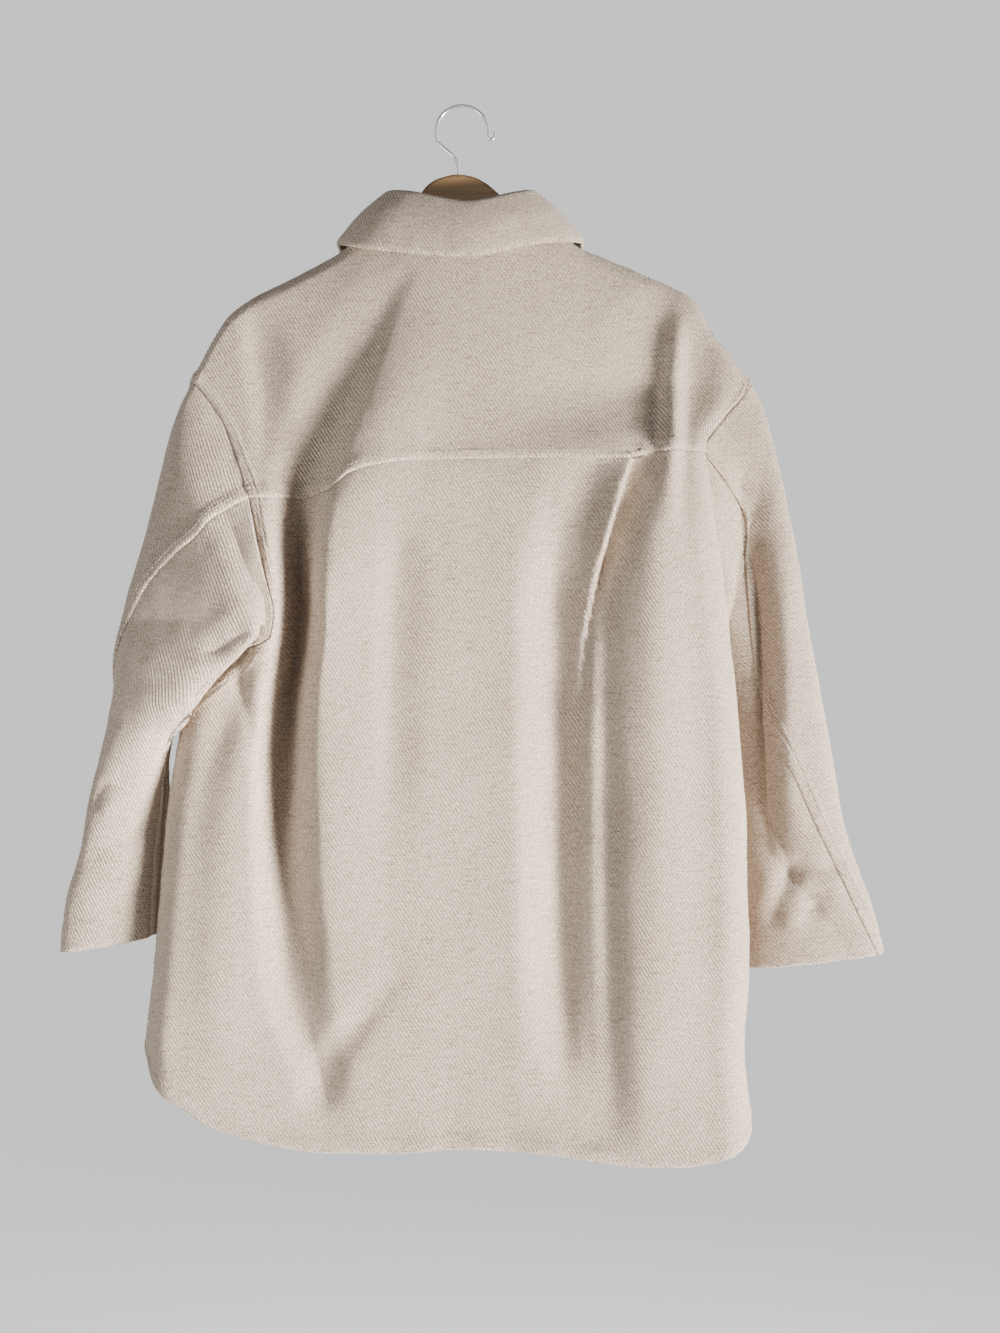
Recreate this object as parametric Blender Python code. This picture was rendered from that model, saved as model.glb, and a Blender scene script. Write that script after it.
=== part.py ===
# A wool-twill shacket that hangs from a wooden hanger, its back towards -Y.
# Metres, +Z up. The origin is the inside top of the hanger's hook, +X is the wearer's right.
#
# Each cloth panel is laid out in flat coordinates (x across, z down) between its seam lines. The body
# functions then round it over the shoulders and sides and give it depth, so that the panels share
# their seam points. Every wall is the panel's outer skin and a second skin one cloth thickness inside.

import math

import bmesh
import bpy
import numpy as np

# Cloth and seams
WALL = 0.0025
LEAF_WALL = 0.0045
STAND_WALL = 0.0030
SEAM_GAP = 0.0003
INNER_SETBACK = 0.0026
SETBACK_REACH = 3.0

# Body
TOP_RADIUS = 0.014
RIDGE_HALF = 0.0125
OPENING_DEPTH = 0.130
NECK_X = 0.085
NECK_SWELL = 0.008
NECK_SWELL_REACH = (0.080, 0.060)
NECK_BACK_Z = -0.130
NECK_BACK_RISE = 0.020
NECK_FRONT_Z = -0.190
NECK_FRONT_RISE = 0.080
FRONT_OVERLAP = 0.0175
OVERLAP_LIFT = WALL + 0.0009
LEFT_TURN = 1.0
LEFT_UNDERARM_TURN = 0.3
RIGHT_TURN = 1.75

# Collar
ROLL_RADIUS = 0.0068
ROLL_OFFSET = 0.0028
ROLL_LIFT = 0.0012
LEAF_BOW = 0.004

# Sleeves
RING_SQUARENESS = 0.7
SLEEVE_SETBACK = 0.0045
SLEEVE_CLEARANCE = 0.0045
SLEEVE_EASE = 1.3

# Buttons
BUTTON_RADIUS = 0.011
BUTTON_THICKNESS = 0.003
BUTTON_COUNT = 6
BUTTON_TOP = -0.215
BUTTON_STEP = 0.128

# Hanger
WOOD_THICKNESS = 0.012
WOOD_BEVEL = 0.003
WOOD_REACH = 0.206
WOOD_CLEARANCE = 0.0016
WOOD_WAIST = 0.104
WIRE_RADIUS = 0.0016
HOOK_RADIUS = 0.024

# Mesh divisions
YOKE_ROWS = 8
ARMHOLE_ROWS = 9
SIDE_ROWS = 15
FRONT_ARMHOLE_ROWS = 11
NECKLINE_COLUMNS = 6
SLEEVE_ROWS = 18


class Table:
    """Named columns of sizes, read between rows on a smooth curve that never overshoots."""

    def __init__(self, names, rows):
        self.names = names.split()
        self.rows = np.array(sorted(rows), dtype=float)

    def column(self, name):
        return self.rows[:, self.names.index(name)]

    def at(self, name, place):
        key = self.rows[:, 0]
        value = self.column(name)
        step = np.diff(key)
        rise = np.diff(value) / step
        slope = np.concatenate(([rise[0]], np.zeros(len(key) - 2), [rise[-1]]))
        product = rise[:-1] * rise[1:]
        total = np.where(product > 0, rise[:-1] + rise[1:], 1.0)
        slope[1:-1] = np.where(product > 0, 2 * product / total, 0.0)
        place = np.clip(np.asarray(place, dtype=float), key[0], key[-1])
        row = np.clip(np.searchsorted(key, place) - 1, 0, len(key) - 2)
        t = (place - key[row]) / step[row]
        start = (1 + 2 * t) * (1 - t) ** 2 * value[row] + t * (1 - t) ** 2 * step[row] * slope[row]
        end = t ** 2 * (3 - 2 * t) * value[row + 1] - t ** 2 * (1 - t) * step[row] * slope[row + 1]
        return start + end


# The line of the shoulders. Between the neck points it is the top that the neck opening cuts off.
ROOF = Table("x z", [
    (-0.340, -0.400), (-0.250, -0.256), (-0.209, -0.188), (-0.149, -0.155), (-0.116, -0.137),
    (-0.085, -0.118), (0.000, -0.100), (0.085, -0.117), (0.110, -0.131), (0.154, -0.149),
    (0.204, -0.172), (0.212, -0.178), (0.230, -0.208), (0.247, -0.231), (0.267, -0.256),
    (0.340, -0.370),
])

# The body at each height: the outermost line at each side, how round it is there, the depth of that
# line, half the thickness beside it, and the depth of the back and front at the middle.
BODY = Table("z left left_round left_y left_half right right_round right_y right_half back front", [
    (-0.100, -0.300, 0.025, 0.000, 0.025, 0.330, 0.055, 0.000, 0.028, -0.052, 0.022),
    (-0.256, -0.276, 0.025, 0.004, 0.025, 0.280, 0.055, 0.000, 0.028, -0.054, 0.022),
    (-0.285, -0.257, 0.025, 0.002, 0.025, 0.2424, 0.040, -0.018, 0.028, -0.055, 0.022),
    (-0.316, -0.237, 0.025, -0.006, 0.025, 0.2194, 0.022, -0.036, 0.029, -0.055, 0.022),
    (-0.347, -0.224, 0.025, -0.015, 0.025, 0.2241, 0.023, -0.036, 0.030, -0.055, 0.022),
    (-0.383, -0.214, 0.025, -0.022, 0.025, 0.2290, 0.024, -0.035, 0.030, -0.054, 0.022),
    (-0.431, -0.206, 0.025, -0.029, 0.025, 0.2365, 0.026, -0.033, 0.030, -0.054, 0.022),
    (-0.465, -0.203, 0.025, -0.025, 0.026, 0.2410, 0.027, -0.031, 0.030, -0.054, 0.022),
    (-0.498, -0.203, 0.025, -0.020, 0.026, 0.2438, 0.027, -0.031, 0.030, -0.054, 0.022),
    (-0.527, -0.230, 0.025, -0.016, 0.026, 0.2470, 0.028, -0.030, 0.030, -0.053, 0.022),
    (-0.556, -0.251, 0.025, -0.013, 0.026, 0.2495, 0.028, -0.030, 0.030, -0.053, 0.022),
    (-0.600, -0.260, 0.025, -0.012, 0.027, 0.2535, 0.028, -0.029, 0.030, -0.052, 0.022),
    (-0.641, -0.266, 0.025, -0.013, 0.028, 0.2564, 0.028, -0.029, 0.030, -0.051, 0.022),
    (-0.700, -0.271, 0.025, -0.015, 0.030, 0.2582, 0.028, -0.029, 0.030, -0.050, 0.022),
    (-0.784, -0.278, 0.025, -0.015, 0.030, 0.2600, 0.028, -0.029, 0.030, -0.049, 0.022),
    (-0.859, -0.285, 0.025, -0.015, 0.030, 0.2557, 0.028, -0.029, 0.030, -0.048, 0.022),
    (-0.922, -0.284, 0.025, -0.015, 0.030, 0.2605, 0.028, -0.029, 0.030, -0.047, 0.022),
    (-0.965, -0.284, 0.025, -0.015, 0.030, 0.2605, 0.028, -0.029, 0.030, -0.047, 0.022),
])

# Folds of the back, each along its own line down the cloth: how far it sinks away from the back
# (less than nothing stands proud) and how wide it is on each side of the line.
FOLD_COLUMNS = "z x depth left right"
BACK_FOLDS = {
    "deep valley": Table(FOLD_COLUMNS, [
        (-0.150, -0.050, 0.000, 0.050, 0.020), (-0.185, -0.068, 0.004, 0.050, 0.020),
        (-0.248, -0.095, 0.010, 0.060, 0.024), (-0.289, -0.114, 0.014, 0.060, 0.028),
        (-0.320, -0.130, 0.017, 0.050, 0.032), (-0.360, -0.144, 0.023, 0.035, 0.034),
        (-0.407, -0.149, 0.031, 0.026, 0.033), (-0.473, -0.148, 0.036, 0.024, 0.030),
        (-0.545, -0.156, 0.037, 0.026, 0.031), (-0.618, -0.160, 0.034, 0.030, 0.034),
        (-0.674, -0.161, 0.027, 0.030, 0.038), (-0.762, -0.154, 0.018, 0.032, 0.040),
        (-0.820, -0.145, 0.013, 0.034, 0.036), (-0.889, -0.121, 0.007, 0.030, 0.030),
        (-0.930, -0.115, 0.000, 0.030, 0.030),
    ]),
    "crest beside the valley": Table(FOLD_COLUMNS, [
        (-0.180, -0.020, 0.000, 0.040, 0.060), (-0.290, -0.070, -0.006, 0.045, 0.070),
        (-0.400, -0.108, -0.007, 0.030, 0.060), (-0.540, -0.118, -0.007, 0.030, 0.060),
        (-0.700, -0.115, -0.005, 0.034, 0.060), (-0.850, -0.105, 0.000, 0.034, 0.060),
    ]),
    "roll beside the sleeve": Table(FOLD_COLUMNS, [
        (-0.340, -0.172, 0.000, 0.018, 0.018), (-0.440, -0.168, -0.004, 0.014, 0.018),
        (-0.520, -0.180, -0.006, 0.020, 0.024), (-0.640, -0.205, -0.006, 0.035, 0.040),
        (-0.800, -0.215, -0.005, 0.045, 0.050), (-0.920, -0.215, 0.000, 0.045, 0.050),
    ]),
    "wide trough": Table(FOLD_COLUMNS, [
        (-0.330, 0.118, 0.003, 0.045, 0.034), (-0.400, 0.104, 0.010, 0.045, 0.040),
        (-0.455, 0.096, 0.014, 0.048, 0.050), (-0.634, 0.098, 0.014, 0.050, 0.055),
        (-0.814, 0.102, 0.012, 0.050, 0.055), (-0.900, 0.124, 0.007, 0.045, 0.045),
        (-0.945, 0.130, 0.000, 0.045, 0.045),
    ]),
    "pleat edge": Table(FOLD_COLUMNS, [
        (-0.300, 0.154, 0.000, 0.020, 0.014), (-0.329, 0.146, -0.003, 0.022, 0.014),
        (-0.376, 0.133, -0.006, 0.026, 0.014), (-0.420, 0.120, -0.006, 0.026, 0.015),
        (-0.445, 0.113, -0.003, 0.026, 0.016), (-0.475, 0.108, 0.000, 0.026, 0.018),
    ]),
    "pleat underlay": Table(FOLD_COLUMNS, [
        (-0.300, 0.164, 0.000, 0.014, 0.020), (-0.329, 0.160, 0.004, 0.016, 0.022),
        (-0.376, 0.150, 0.007, 0.018, 0.030), (-0.430, 0.138, 0.007, 0.020, 0.034),
        (-0.500, 0.126, 0.003, 0.020, 0.034), (-0.560, 0.122, 0.000, 0.024, 0.034),
    ]),
    "left shoulder hollow": Table(FOLD_COLUMNS, [
        (-0.180, -0.190, 0.000, 0.018, 0.030), (-0.225, -0.184, 0.005, 0.020, 0.034),
        (-0.300, -0.176, 0.004, 0.020, 0.034), (-0.360, -0.172, 0.000, 0.018, 0.030),
    ]),
    "right shoulder hollow": Table(FOLD_COLUMNS, [
        (-0.165, 0.184, 0.000, 0.050, 0.020), (-0.200, 0.180, 0.007, 0.055, 0.022),
        (-0.260, 0.173, 0.008, 0.060, 0.024), (-0.312, 0.171, 0.006, 0.050, 0.026),
        (-0.350, 0.170, 0.000, 0.040, 0.026),
    ]),
    "slanting fold above the hem": Table(FOLD_COLUMNS, [
        (-0.770, -0.052, 0.000, 0.024, 0.024), (-0.805, -0.072, 0.005, 0.026, 0.026),
        (-0.849, -0.104, 0.007, 0.028, 0.026), (-0.889, -0.124, 0.005, 0.028, 0.026),
        (-0.925, -0.130, 0.000, 0.028, 0.026),
    ]),
}
FRONT_FOLDS = {
    "left soft fold": Table(FOLD_COLUMNS, [
        (-0.260, -0.100, 0.000, 0.040, 0.040), (-0.420, -0.112, 0.008, 0.045, 0.040),
        (-0.700, -0.128, 0.009, 0.050, 0.045), (-0.940, -0.135, 0.003, 0.050, 0.045),
    ]),
    "right soft fold": Table(FOLD_COLUMNS, [
        (-0.260, 0.095, 0.000, 0.040, 0.040), (-0.450, 0.110, 0.007, 0.040, 0.045),
        (-0.720, 0.118, 0.008, 0.045, 0.050), (-0.940, 0.122, 0.003, 0.045, 0.050),
    ]),
}

# Armhole seams in flat coordinates, from the shoulder tip to the underarm.
ARMHOLES = {
    ("back", "left"): Table("z x", [
        (-0.249, -0.250), (-0.279, -0.2253), (-0.304, -0.2112), (-0.341, -0.1980), (-0.362, -0.1908),
        (-0.383, -0.1860), (-0.409, -0.1800), (-0.431, -0.1745), (-0.465, -0.1670), (-0.488, -0.1705),
        (-0.498, -0.1900),
    ]),
    ("back", "right"): Table("z x", [
        (-0.249, 0.2609), (-0.285, 0.2451), (-0.316, 0.2375), (-0.347, 0.2490), (-0.378, 0.2595),
        (-0.430, 0.2740), (-0.480, 0.2800), (-0.498, 0.2951),
    ]),
    ("front", "left"): Table("z x", [
        (-0.249, -0.250), (-0.285, -0.2350), (-0.320, -0.2240), (-0.370, -0.2130), (-0.430, -0.2050),
        (-0.468, -0.2110), (-0.488, -0.2230), (-0.498, -0.2461),
    ]),
    ("front", "right"): Table("z x", [
        (-0.249, 0.2609), (-0.285, 0.2220), (-0.320, 0.2050), (-0.370, 0.1960), (-0.430, 0.1980),
        (-0.470, 0.2030), (-0.490, 0.2120), (-0.498, 0.2280),
    ]),
}
UNDERARM_Z = -0.498
YOKE_LEFT_Z = -0.362
YOKE_RIGHT_Z = -0.320
SIDE_LEFT_END = -0.862
SIDE_RIGHT_END = -0.895

YOKE_SEAM = Table("x z", [
    (-0.191, -0.3620), (-0.153, -0.3612), (-0.1175, -0.3540), (-0.100, -0.3405), (-0.0775, -0.3335),
    (-0.038, -0.3288), (0.089, -0.3273), (0.150, -0.3275), (0.171, -0.3225), (0.191, -0.3200),
    (0.245, -0.3200),
])
BACK_HEM = Table("x z", [
    (-0.302, -0.862), (-0.285, -0.884), (-0.270, -0.897), (-0.248, -0.910), (-0.227, -0.925),
    (-0.196, -0.935), (-0.156, -0.944), (-0.126, -0.948), (-0.056, -0.948), (0.000, -0.9442),
    (0.078, -0.948), (0.117, -0.953), (0.155, -0.957), (0.190, -0.9575), (0.213, -0.9554),
    (0.238, -0.950), (0.258, -0.941), (0.272, -0.930), (0.290, -0.914), (0.3145, -0.895),
])
FRONT_HEM = Table("x z", [
    (-0.302, -0.862), (-0.285, -0.880), (-0.255, -0.902), (-0.200, -0.928), (-0.120, -0.942),
    (-0.0175, -0.945), (0.0175, -0.945), (0.100, -0.944), (0.180, -0.934), (0.225, -0.915),
    (0.248, -0.895),
])

# Where the columns of the yoke and back run: at the shoulders and neck, at the yoke seam and at the
# hem, with the number of columns from each line to the next.
COLUMN_LINES = [
    # columns, top, yoke, hem
    (0, -0.2500, -0.1908, -0.3020),
    (4, -0.1950, -0.1720, -0.2500),
    (4, -0.1400, -0.1560, -0.2050),
    (8, -0.0850, -0.1050, -0.1250),
    (9, 0.0850, 0.0900, 0.0700),
    (8, 0.1500, 0.1650, 0.1700),
    (4, 0.2120, 0.2000, 0.2350),
    (5, 0.2609, 0.2385, 0.3145),
]
NECK_LEFT_COLUMN = 16
NECK_RIGHT_COLUMN = 25
LEFT_SHOULDER_PICK = (0, 1, 2, 3, 4, 5, 6, 8, 10, 12, 14, 16)
RIGHT_SHOULDER_PICK = (42, 41, 40, 39, 38, 37, 36, 35, 34, 33, 31, 29, 27, 25)
SIDE_PICK = (1, 2, 3, 4, 5, 7, 9, 11, 12, 13, 14, 15)

# Sleeves, ring by ring from near the armhole to the hem: the outer and inner end of the flattened
# ring, how far it fills out towards the back and the front, and where the back seam crosses it,
# as a share of the way from the outer to the inner end. The last is how far past the inner end, as a
# share of half the ring, the underarm seam lies.
RING_COLUMNS = "g outer_x outer_y outer_z inner_x inner_y inner_z back front seam past"
SLEEVES = {
    "left": Table(RING_COLUMNS, [
        (1, -0.2640, -0.003, -0.292, -0.1765, -0.061, -0.477, 0.017, 0.007, 0.48, 0.10),
        (2, -0.2755, -0.008, -0.337, -0.1785, -0.065, -0.487, 0.018, 0.008, 0.40, 0.06),
        (3, -0.2885, -0.012, -0.391, -0.1840, -0.065, -0.493, 0.018, 0.009, 0.26, 0.03),
        (4, -0.3035, -0.016, -0.446, -0.1955, -0.061, -0.505, 0.018, 0.012, 0.12, 0.00),
        (5, -0.3140, -0.020, -0.503, -0.2110, -0.056, -0.519, 0.019, 0.014, 0.02, 0.00),
        (6, -0.3185, -0.020, -0.549, -0.2380, -0.046, -0.551, 0.020, 0.015, -0.02, 0.00),
        (7, -0.3280, -0.017, -0.593, -0.2640, -0.016, -0.589, 0.023, 0.018, -0.03, 0.00),
        (8, -0.3390, -0.014, -0.634, -0.2700, 0.000, -0.632, 0.025, 0.020, -0.03, 0.00),
        (9, -0.3470, -0.012, -0.682, -0.2745, 0.003, -0.681, 0.024, 0.019, -0.03, 0.00),
        (10, -0.3610, -0.010, -0.727, -0.2785, 0.004, -0.722, 0.022, 0.018, -0.03, 0.00),
        (11, -0.3665, -0.008, -0.774, -0.2815, 0.004, -0.761, 0.020, 0.016, -0.03, 0.00),
    ]),
    "right": Table(RING_COLUMNS, [
        (1, 0.2760, 0.000, -0.274, 0.2330, 0.012, -0.504, 0.013, 0.018, 0.42, 0.00),
        (2, 0.2866, 0.000, -0.313, 0.2350, 0.014, -0.510, 0.011, 0.015, 0.52, 0.00),
        (3, 0.2972, 0.000, -0.354, 0.2375, 0.013, -0.518, 0.013, 0.015, 0.60, 0.00),
        (4, 0.3080, 0.000, -0.410, 0.2400, 0.014, -0.532, 0.018, 0.016, 0.66, 0.00),
        (5, 0.3175, 0.000, -0.470, 0.2430, 0.014, -0.550, 0.022, 0.016, 0.68, 0.00),
        (6, 0.3268, 0.000, -0.526, 0.2460, 0.014, -0.575, 0.026, 0.016, 0.64, 0.00),
        (7, 0.3385, 0.000, -0.586, 0.2490, 0.014, -0.615, 0.028, 0.016, 0.48, 0.00),
        (8, 0.3490, 0.000, -0.650, 0.2515, 0.013, -0.665, 0.028, 0.016, 0.30, 0.00),
        (9, 0.3650, 0.000, -0.702, 0.2540, 0.012, -0.712, 0.026, 0.016, 0.19, 0.00),
        (10, 0.3785, -0.002, -0.744, 0.2570, 0.010, -0.758, 0.022, 0.015, 0.12, 0.00),
        (11, 0.3855, -0.002, -0.776, 0.2625, 0.008, -0.791, 0.020, 0.014, 0.05, 0.00),
    ]),
}

# Collar along the neck seam, from the wearer's left front edge round the back to the right: the top
# of the stand and the free edge of the leaf.
COLLAR = Table("s roll_x roll_y roll_z edge_x edge_y edge_z", [
    (0.00, 0.0150, 0.0165, -0.156, -0.0300, 0.031, -0.228),
    (0.05, -0.0015, 0.0168, -0.154, -0.0450, 0.031, -0.222),
    (0.10, -0.0240, 0.016, -0.146, -0.0700, 0.030, -0.200),
    (0.20, -0.0560, 0.011, -0.116, -0.0990, 0.026, -0.158),
    (0.25, -0.0650, 0.006, -0.101, -0.1110, 0.021, -0.136),
    (0.30, -0.0690, -0.001, -0.091, -0.1155, 0.001, -0.124),
    (0.35, -0.0620, -0.010, -0.088, -0.1000, -0.020, -0.130),
    (0.40, -0.0480, -0.018, -0.090, -0.0700, -0.033, -0.137),
    (0.50, 0.0060, -0.026, -0.101, 0.0050, -0.041, -0.144),
    (0.60, 0.0500, -0.018, -0.091, 0.0660, -0.033, -0.131),
    (0.65, 0.0630, -0.010, -0.088, 0.0970, -0.020, -0.126),
    (0.70, 0.0690, -0.001, -0.091, 0.1125, 0.001, -0.123),
    (0.75, 0.0650, 0.006, -0.101, 0.1090, 0.021, -0.136),
    (0.80, 0.0560, 0.011, -0.116, 0.0990, 0.026, -0.158),
    (0.90, 0.0240, 0.018, -0.146, 0.0700, 0.033, -0.200),
    (0.95, 0.0015, 0.0207, -0.154, 0.0450, 0.035, -0.222),
    (1.00, -0.0150, 0.0210, -0.156, 0.0300, 0.035, -0.228),
])

WOOD_CROWN = Table("x z", [
    (-0.104, -0.1345), (-0.092, -0.1335), (-0.080, -0.1340), (-0.070, -0.1280), (-0.055, -0.1080),
    (-0.040, -0.0830), (-0.031, -0.0713), (-0.020, -0.0653), (-0.004, -0.0620), (0.009, -0.0639),
    (0.022, -0.0699), (0.031, -0.0773), (0.040, -0.0860), (0.055, -0.1080), (0.070, -0.1280),
    (0.080, -0.1335), (0.092, -0.1335), (0.104, -0.1330),
])

MATERIALS = {
    # name: red, green, blue, metallic, roughness
    "wool_twill": (0.56, 0.50, 0.43, 0.0, 0.92),
    "beech": (0.36, 0.23, 0.11, 0.0, 0.45),
    "polished_steel": (0.62, 0.62, 0.63, 1.0, 0.25),
    "horn_button": (0.30, 0.22, 0.15, 0.0, 0.35),
}


def smooth_step(low, high, value):
    t = np.clip((value - low) / (high - low), 0.0, 1.0)
    return t * t * (3 - 2 * t)


def fold_depth(folds, x, z):
    """How far the folds sink the cloth at a place."""
    total = np.zeros(np.broadcast(x, z).shape)
    for fold in folds.values():
        off = x - fold.at("x", z)
        reach = np.where(off < 0, fold.at("left", z), fold.at("right", z))
        share = np.clip(np.abs(off) / reach, 0.0, 1.0)
        inside = (z <= fold.rows[-1, 0]) & (z >= fold.rows[0, 0])
        total = total + np.where(inside, fold.at("depth", z) * (1 + np.cos(math.pi * share)) / 2, 0.0)
    return total


def side_round(x, z):
    """The real place across, and how far the cloth has turned round a side, in radians."""
    left_round = BODY.at("left_round", z)
    left_start = BODY.at("left", z) + left_round
    left_turned = (left_start - x) / ((left_round + BODY.at("left_half", z)) / 2)
    right_round = BODY.at("right_round", z)
    right_start = BODY.at("right", z) - right_round
    right_turned = (x - right_start) / ((right_round + BODY.at("right_half", z)) / 2)
    real = np.where(left_turned > 0, left_start - left_round * np.sin(left_turned), x)
    real = np.where(right_turned > 0, right_start + right_round * np.sin(right_turned), real)
    return real, np.maximum(0.0, np.maximum(left_turned, right_turned))


def turned(side, z, quarter_turns):
    """The flat place across where the cloth has gone a number of quarter turns round a side."""
    radius = BODY.at(side + "_round", z)
    arc = (radius + BODY.at(side + "_half", z)) / 2 * quarter_turns * math.pi / 2
    if side == "left":
        return BODY.at("left", z) + radius - arc
    return BODY.at("right", z) - radius + arc


def top_round(x, z):
    """The real height, and how far the cloth has turned over the shoulder, in radians."""
    start = ROOF.at("z", x) - TOP_RADIUS
    over = np.clip((z - start) / TOP_RADIUS, 0.0, math.pi / 2)
    return np.where(z > start, start + TOP_RADIUS * np.sin(over), z), over


def ridge(x):
    """The flat height of the shoulder seam."""
    height = ROOF.at("z", x)
    for _ in range(4):
        real, _turn = side_round(x, height)
        height = ROOF.at("z", real)
    return height + TOP_RADIUS * (math.pi / 2 - 1)


def body(face, x, z):
    """The outer skin of the back (face -1) or front (face 1) at a flat place."""
    real_z = z
    for _ in range(3):
        real_x, side = side_round(x, real_z)
        real_z, over = top_round(real_x, z)
    below = np.maximum(0.0, ROOF.at("z", real_x) - real_z)
    opened = 1 - np.exp(-below / OPENING_DEPTH)
    left = BODY.at("left", real_z)
    share = (real_x - left) / (BODY.at("right", real_z) - left)
    near_left = 1 - smooth_step(0.05, 0.45, share)
    near_right = smooth_step(0.50, 0.86, share)
    middle = 1 - near_left - near_right
    back = BODY.at("back", real_z)
    front = BODY.at("front", real_z)
    centre = (near_left * BODY.at("left_y", real_z) + near_right * BODY.at("right_y", real_z)
              + middle * (back + front) / 2) * opened
    target = (near_left * BODY.at("left_half", real_z) + near_right * BODY.at("right_half", real_z)
              + middle * (front - back) / 2)
    half = RIDGE_HALF + (target - RIDGE_HALF) * opened
    swell_x, swell_z = NECK_SWELL_REACH
    neck = NECK_SWELL * np.exp(-(real_x / swell_x) ** 2 - ((real_z + 0.117) / swell_z) ** 2)
    shown = np.cos(side)
    towards = np.where(shown >= 0, face, -face)
    swell = np.where(towards < 0, neck, 0.0)
    back_fold = fold_depth(BACK_FOLDS, real_x, real_z)
    front_fold = fold_depth(FRONT_FOLDS, real_x, real_z)
    fold = np.where(towards < 0, back_fold, front_fold)
    reach = (half + swell - fold * np.abs(shown)) * np.abs(shown) * np.cos(over)
    return np.stack([real_x, centre + towards * reach, real_z], axis=-1)


def coons(top, bottom, left, right):
    """Fill a four-sided patch of flat points from its edges. Left and right run downwards."""
    u = edge_share(top, bottom)[None, :, None]
    v = edge_share(left, right)[:, None, None]
    ruled_down = (1 - v) * top[None] + v * bottom[None]
    ruled_across = (1 - u) * left[:, None] + u * right[:, None]
    corners = ((1 - u) * (1 - v) * top[0] + u * (1 - v) * top[-1]
               + (1 - u) * v * bottom[0] + u * v * bottom[-1])
    return ruled_down + ruled_across - corners


def edge_share(first, second):
    """Share of the way along a pair of opposite edges, at each of their points."""
    shares = []
    for edge in (first, second):
        length = np.linalg.norm(np.diff(edge, axis=0), axis=1)
        shares.append(np.concatenate(([0.0], np.cumsum(length))) / length.sum())
    return (shares[0] + shares[1]) / 2


def flat(x, z):
    return np.stack([x, z], axis=-1)


def unit(vectors):
    return vectors / np.maximum(np.linalg.norm(vectors, axis=-1, keepdims=True), 1e-9)


def column_places(which):
    """Flat places across of every column, read between the lines of the table."""
    index = np.cumsum([line[0] for line in COLUMN_LINES])
    lines = Table("index x", list(zip(index, [line[which] for line in COLUMN_LINES])))
    return lines.at("x", np.arange(index[-1] + 1))


def down_armhole(face, side, from_z, to_z, rows, ease=1.0):
    fine = np.linspace(from_z, to_z, 200)
    line = flat(ARMHOLES[(face, side)].at("x", fine), fine)
    z = np.interp(np.linspace(0, 1, rows + 1) ** ease, edge_share(line, line), fine)
    return flat(ARMHOLES[(face, side)].at("x", z), z)


def down_side(face, side, end_z):
    z = np.linspace(UNDERARM_Z, end_z, SIDE_ROWS + 1)
    if side == "left":
        back = LEFT_TURN + (LEFT_UNDERARM_TURN - LEFT_TURN) * smooth_step(-0.600, UNDERARM_Z, z)
    else:
        back = RIGHT_TURN
    return flat(turned(side, z, back if face == "back" else 2 - back), z)


def yoke_patch():
    x = column_places(1)
    seam_x = column_places(2)
    neck = NECK_BACK_Z + NECK_BACK_RISE * (np.abs(x) / NECK_X) ** 2.4
    in_neck = (np.arange(len(x)) > NECK_LEFT_COLUMN) & (np.arange(len(x)) < NECK_RIGHT_COLUMN)
    top = flat(x, np.where(in_neck, neck, ridge(x)))
    bottom = flat(seam_x, YOKE_SEAM.at("z", seam_x))
    left = down_armhole("back", "left", ridge(x[:1])[0], YOKE_LEFT_Z, YOKE_ROWS, 1.5)
    right = down_armhole("back", "right", ridge(x[-1:])[0], YOKE_RIGHT_Z, YOKE_ROWS, 1.3)
    top[0], top[-1] = left[0], right[0]
    bottom[0], bottom[-1] = left[-1], right[-1]
    patch = coons(top, bottom, left, right)
    return ease_rows(patch, 1.6)


def ease_rows(patch, power):
    """Crowd the rows of the middle columns towards the top edge, where the cloth rounds over."""
    rows = patch.shape[0] - 1
    even = np.linspace(0, 1, rows + 1)
    wanted = even ** power
    eased = patch.copy()
    for column in range(1, patch.shape[1] - 1):
        line = patch[:, column]
        length = np.concatenate(([0.0], np.cumsum(np.linalg.norm(np.diff(line, axis=0), axis=1))))
        share = length / length[-1]
        eased[:, column, 0] = np.interp(wanted, share, line[:, 0])
        eased[:, column, 1] = np.interp(wanted, share, line[:, 1])
    return eased


def back_patch():
    seam_x = column_places(2)
    hem_x = column_places(3)
    top = flat(seam_x, YOKE_SEAM.at("z", seam_x))
    bottom = flat(hem_x, BACK_HEM.at("z", hem_x))
    left = np.concatenate([down_armhole("back", "left", YOKE_LEFT_Z, UNDERARM_Z, ARMHOLE_ROWS),
                           down_side("back", "left", SIDE_LEFT_END)[1:]])
    right = np.concatenate([down_armhole("back", "right", YOKE_RIGHT_Z, UNDERARM_Z, ARMHOLE_ROWS),
                            down_side("back", "right", SIDE_RIGHT_END)[1:]])
    top[0], top[-1] = left[0], right[0]
    bottom[0], bottom[-1] = left[-1], right[-1]
    return coons(top, bottom, left, right)


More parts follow.
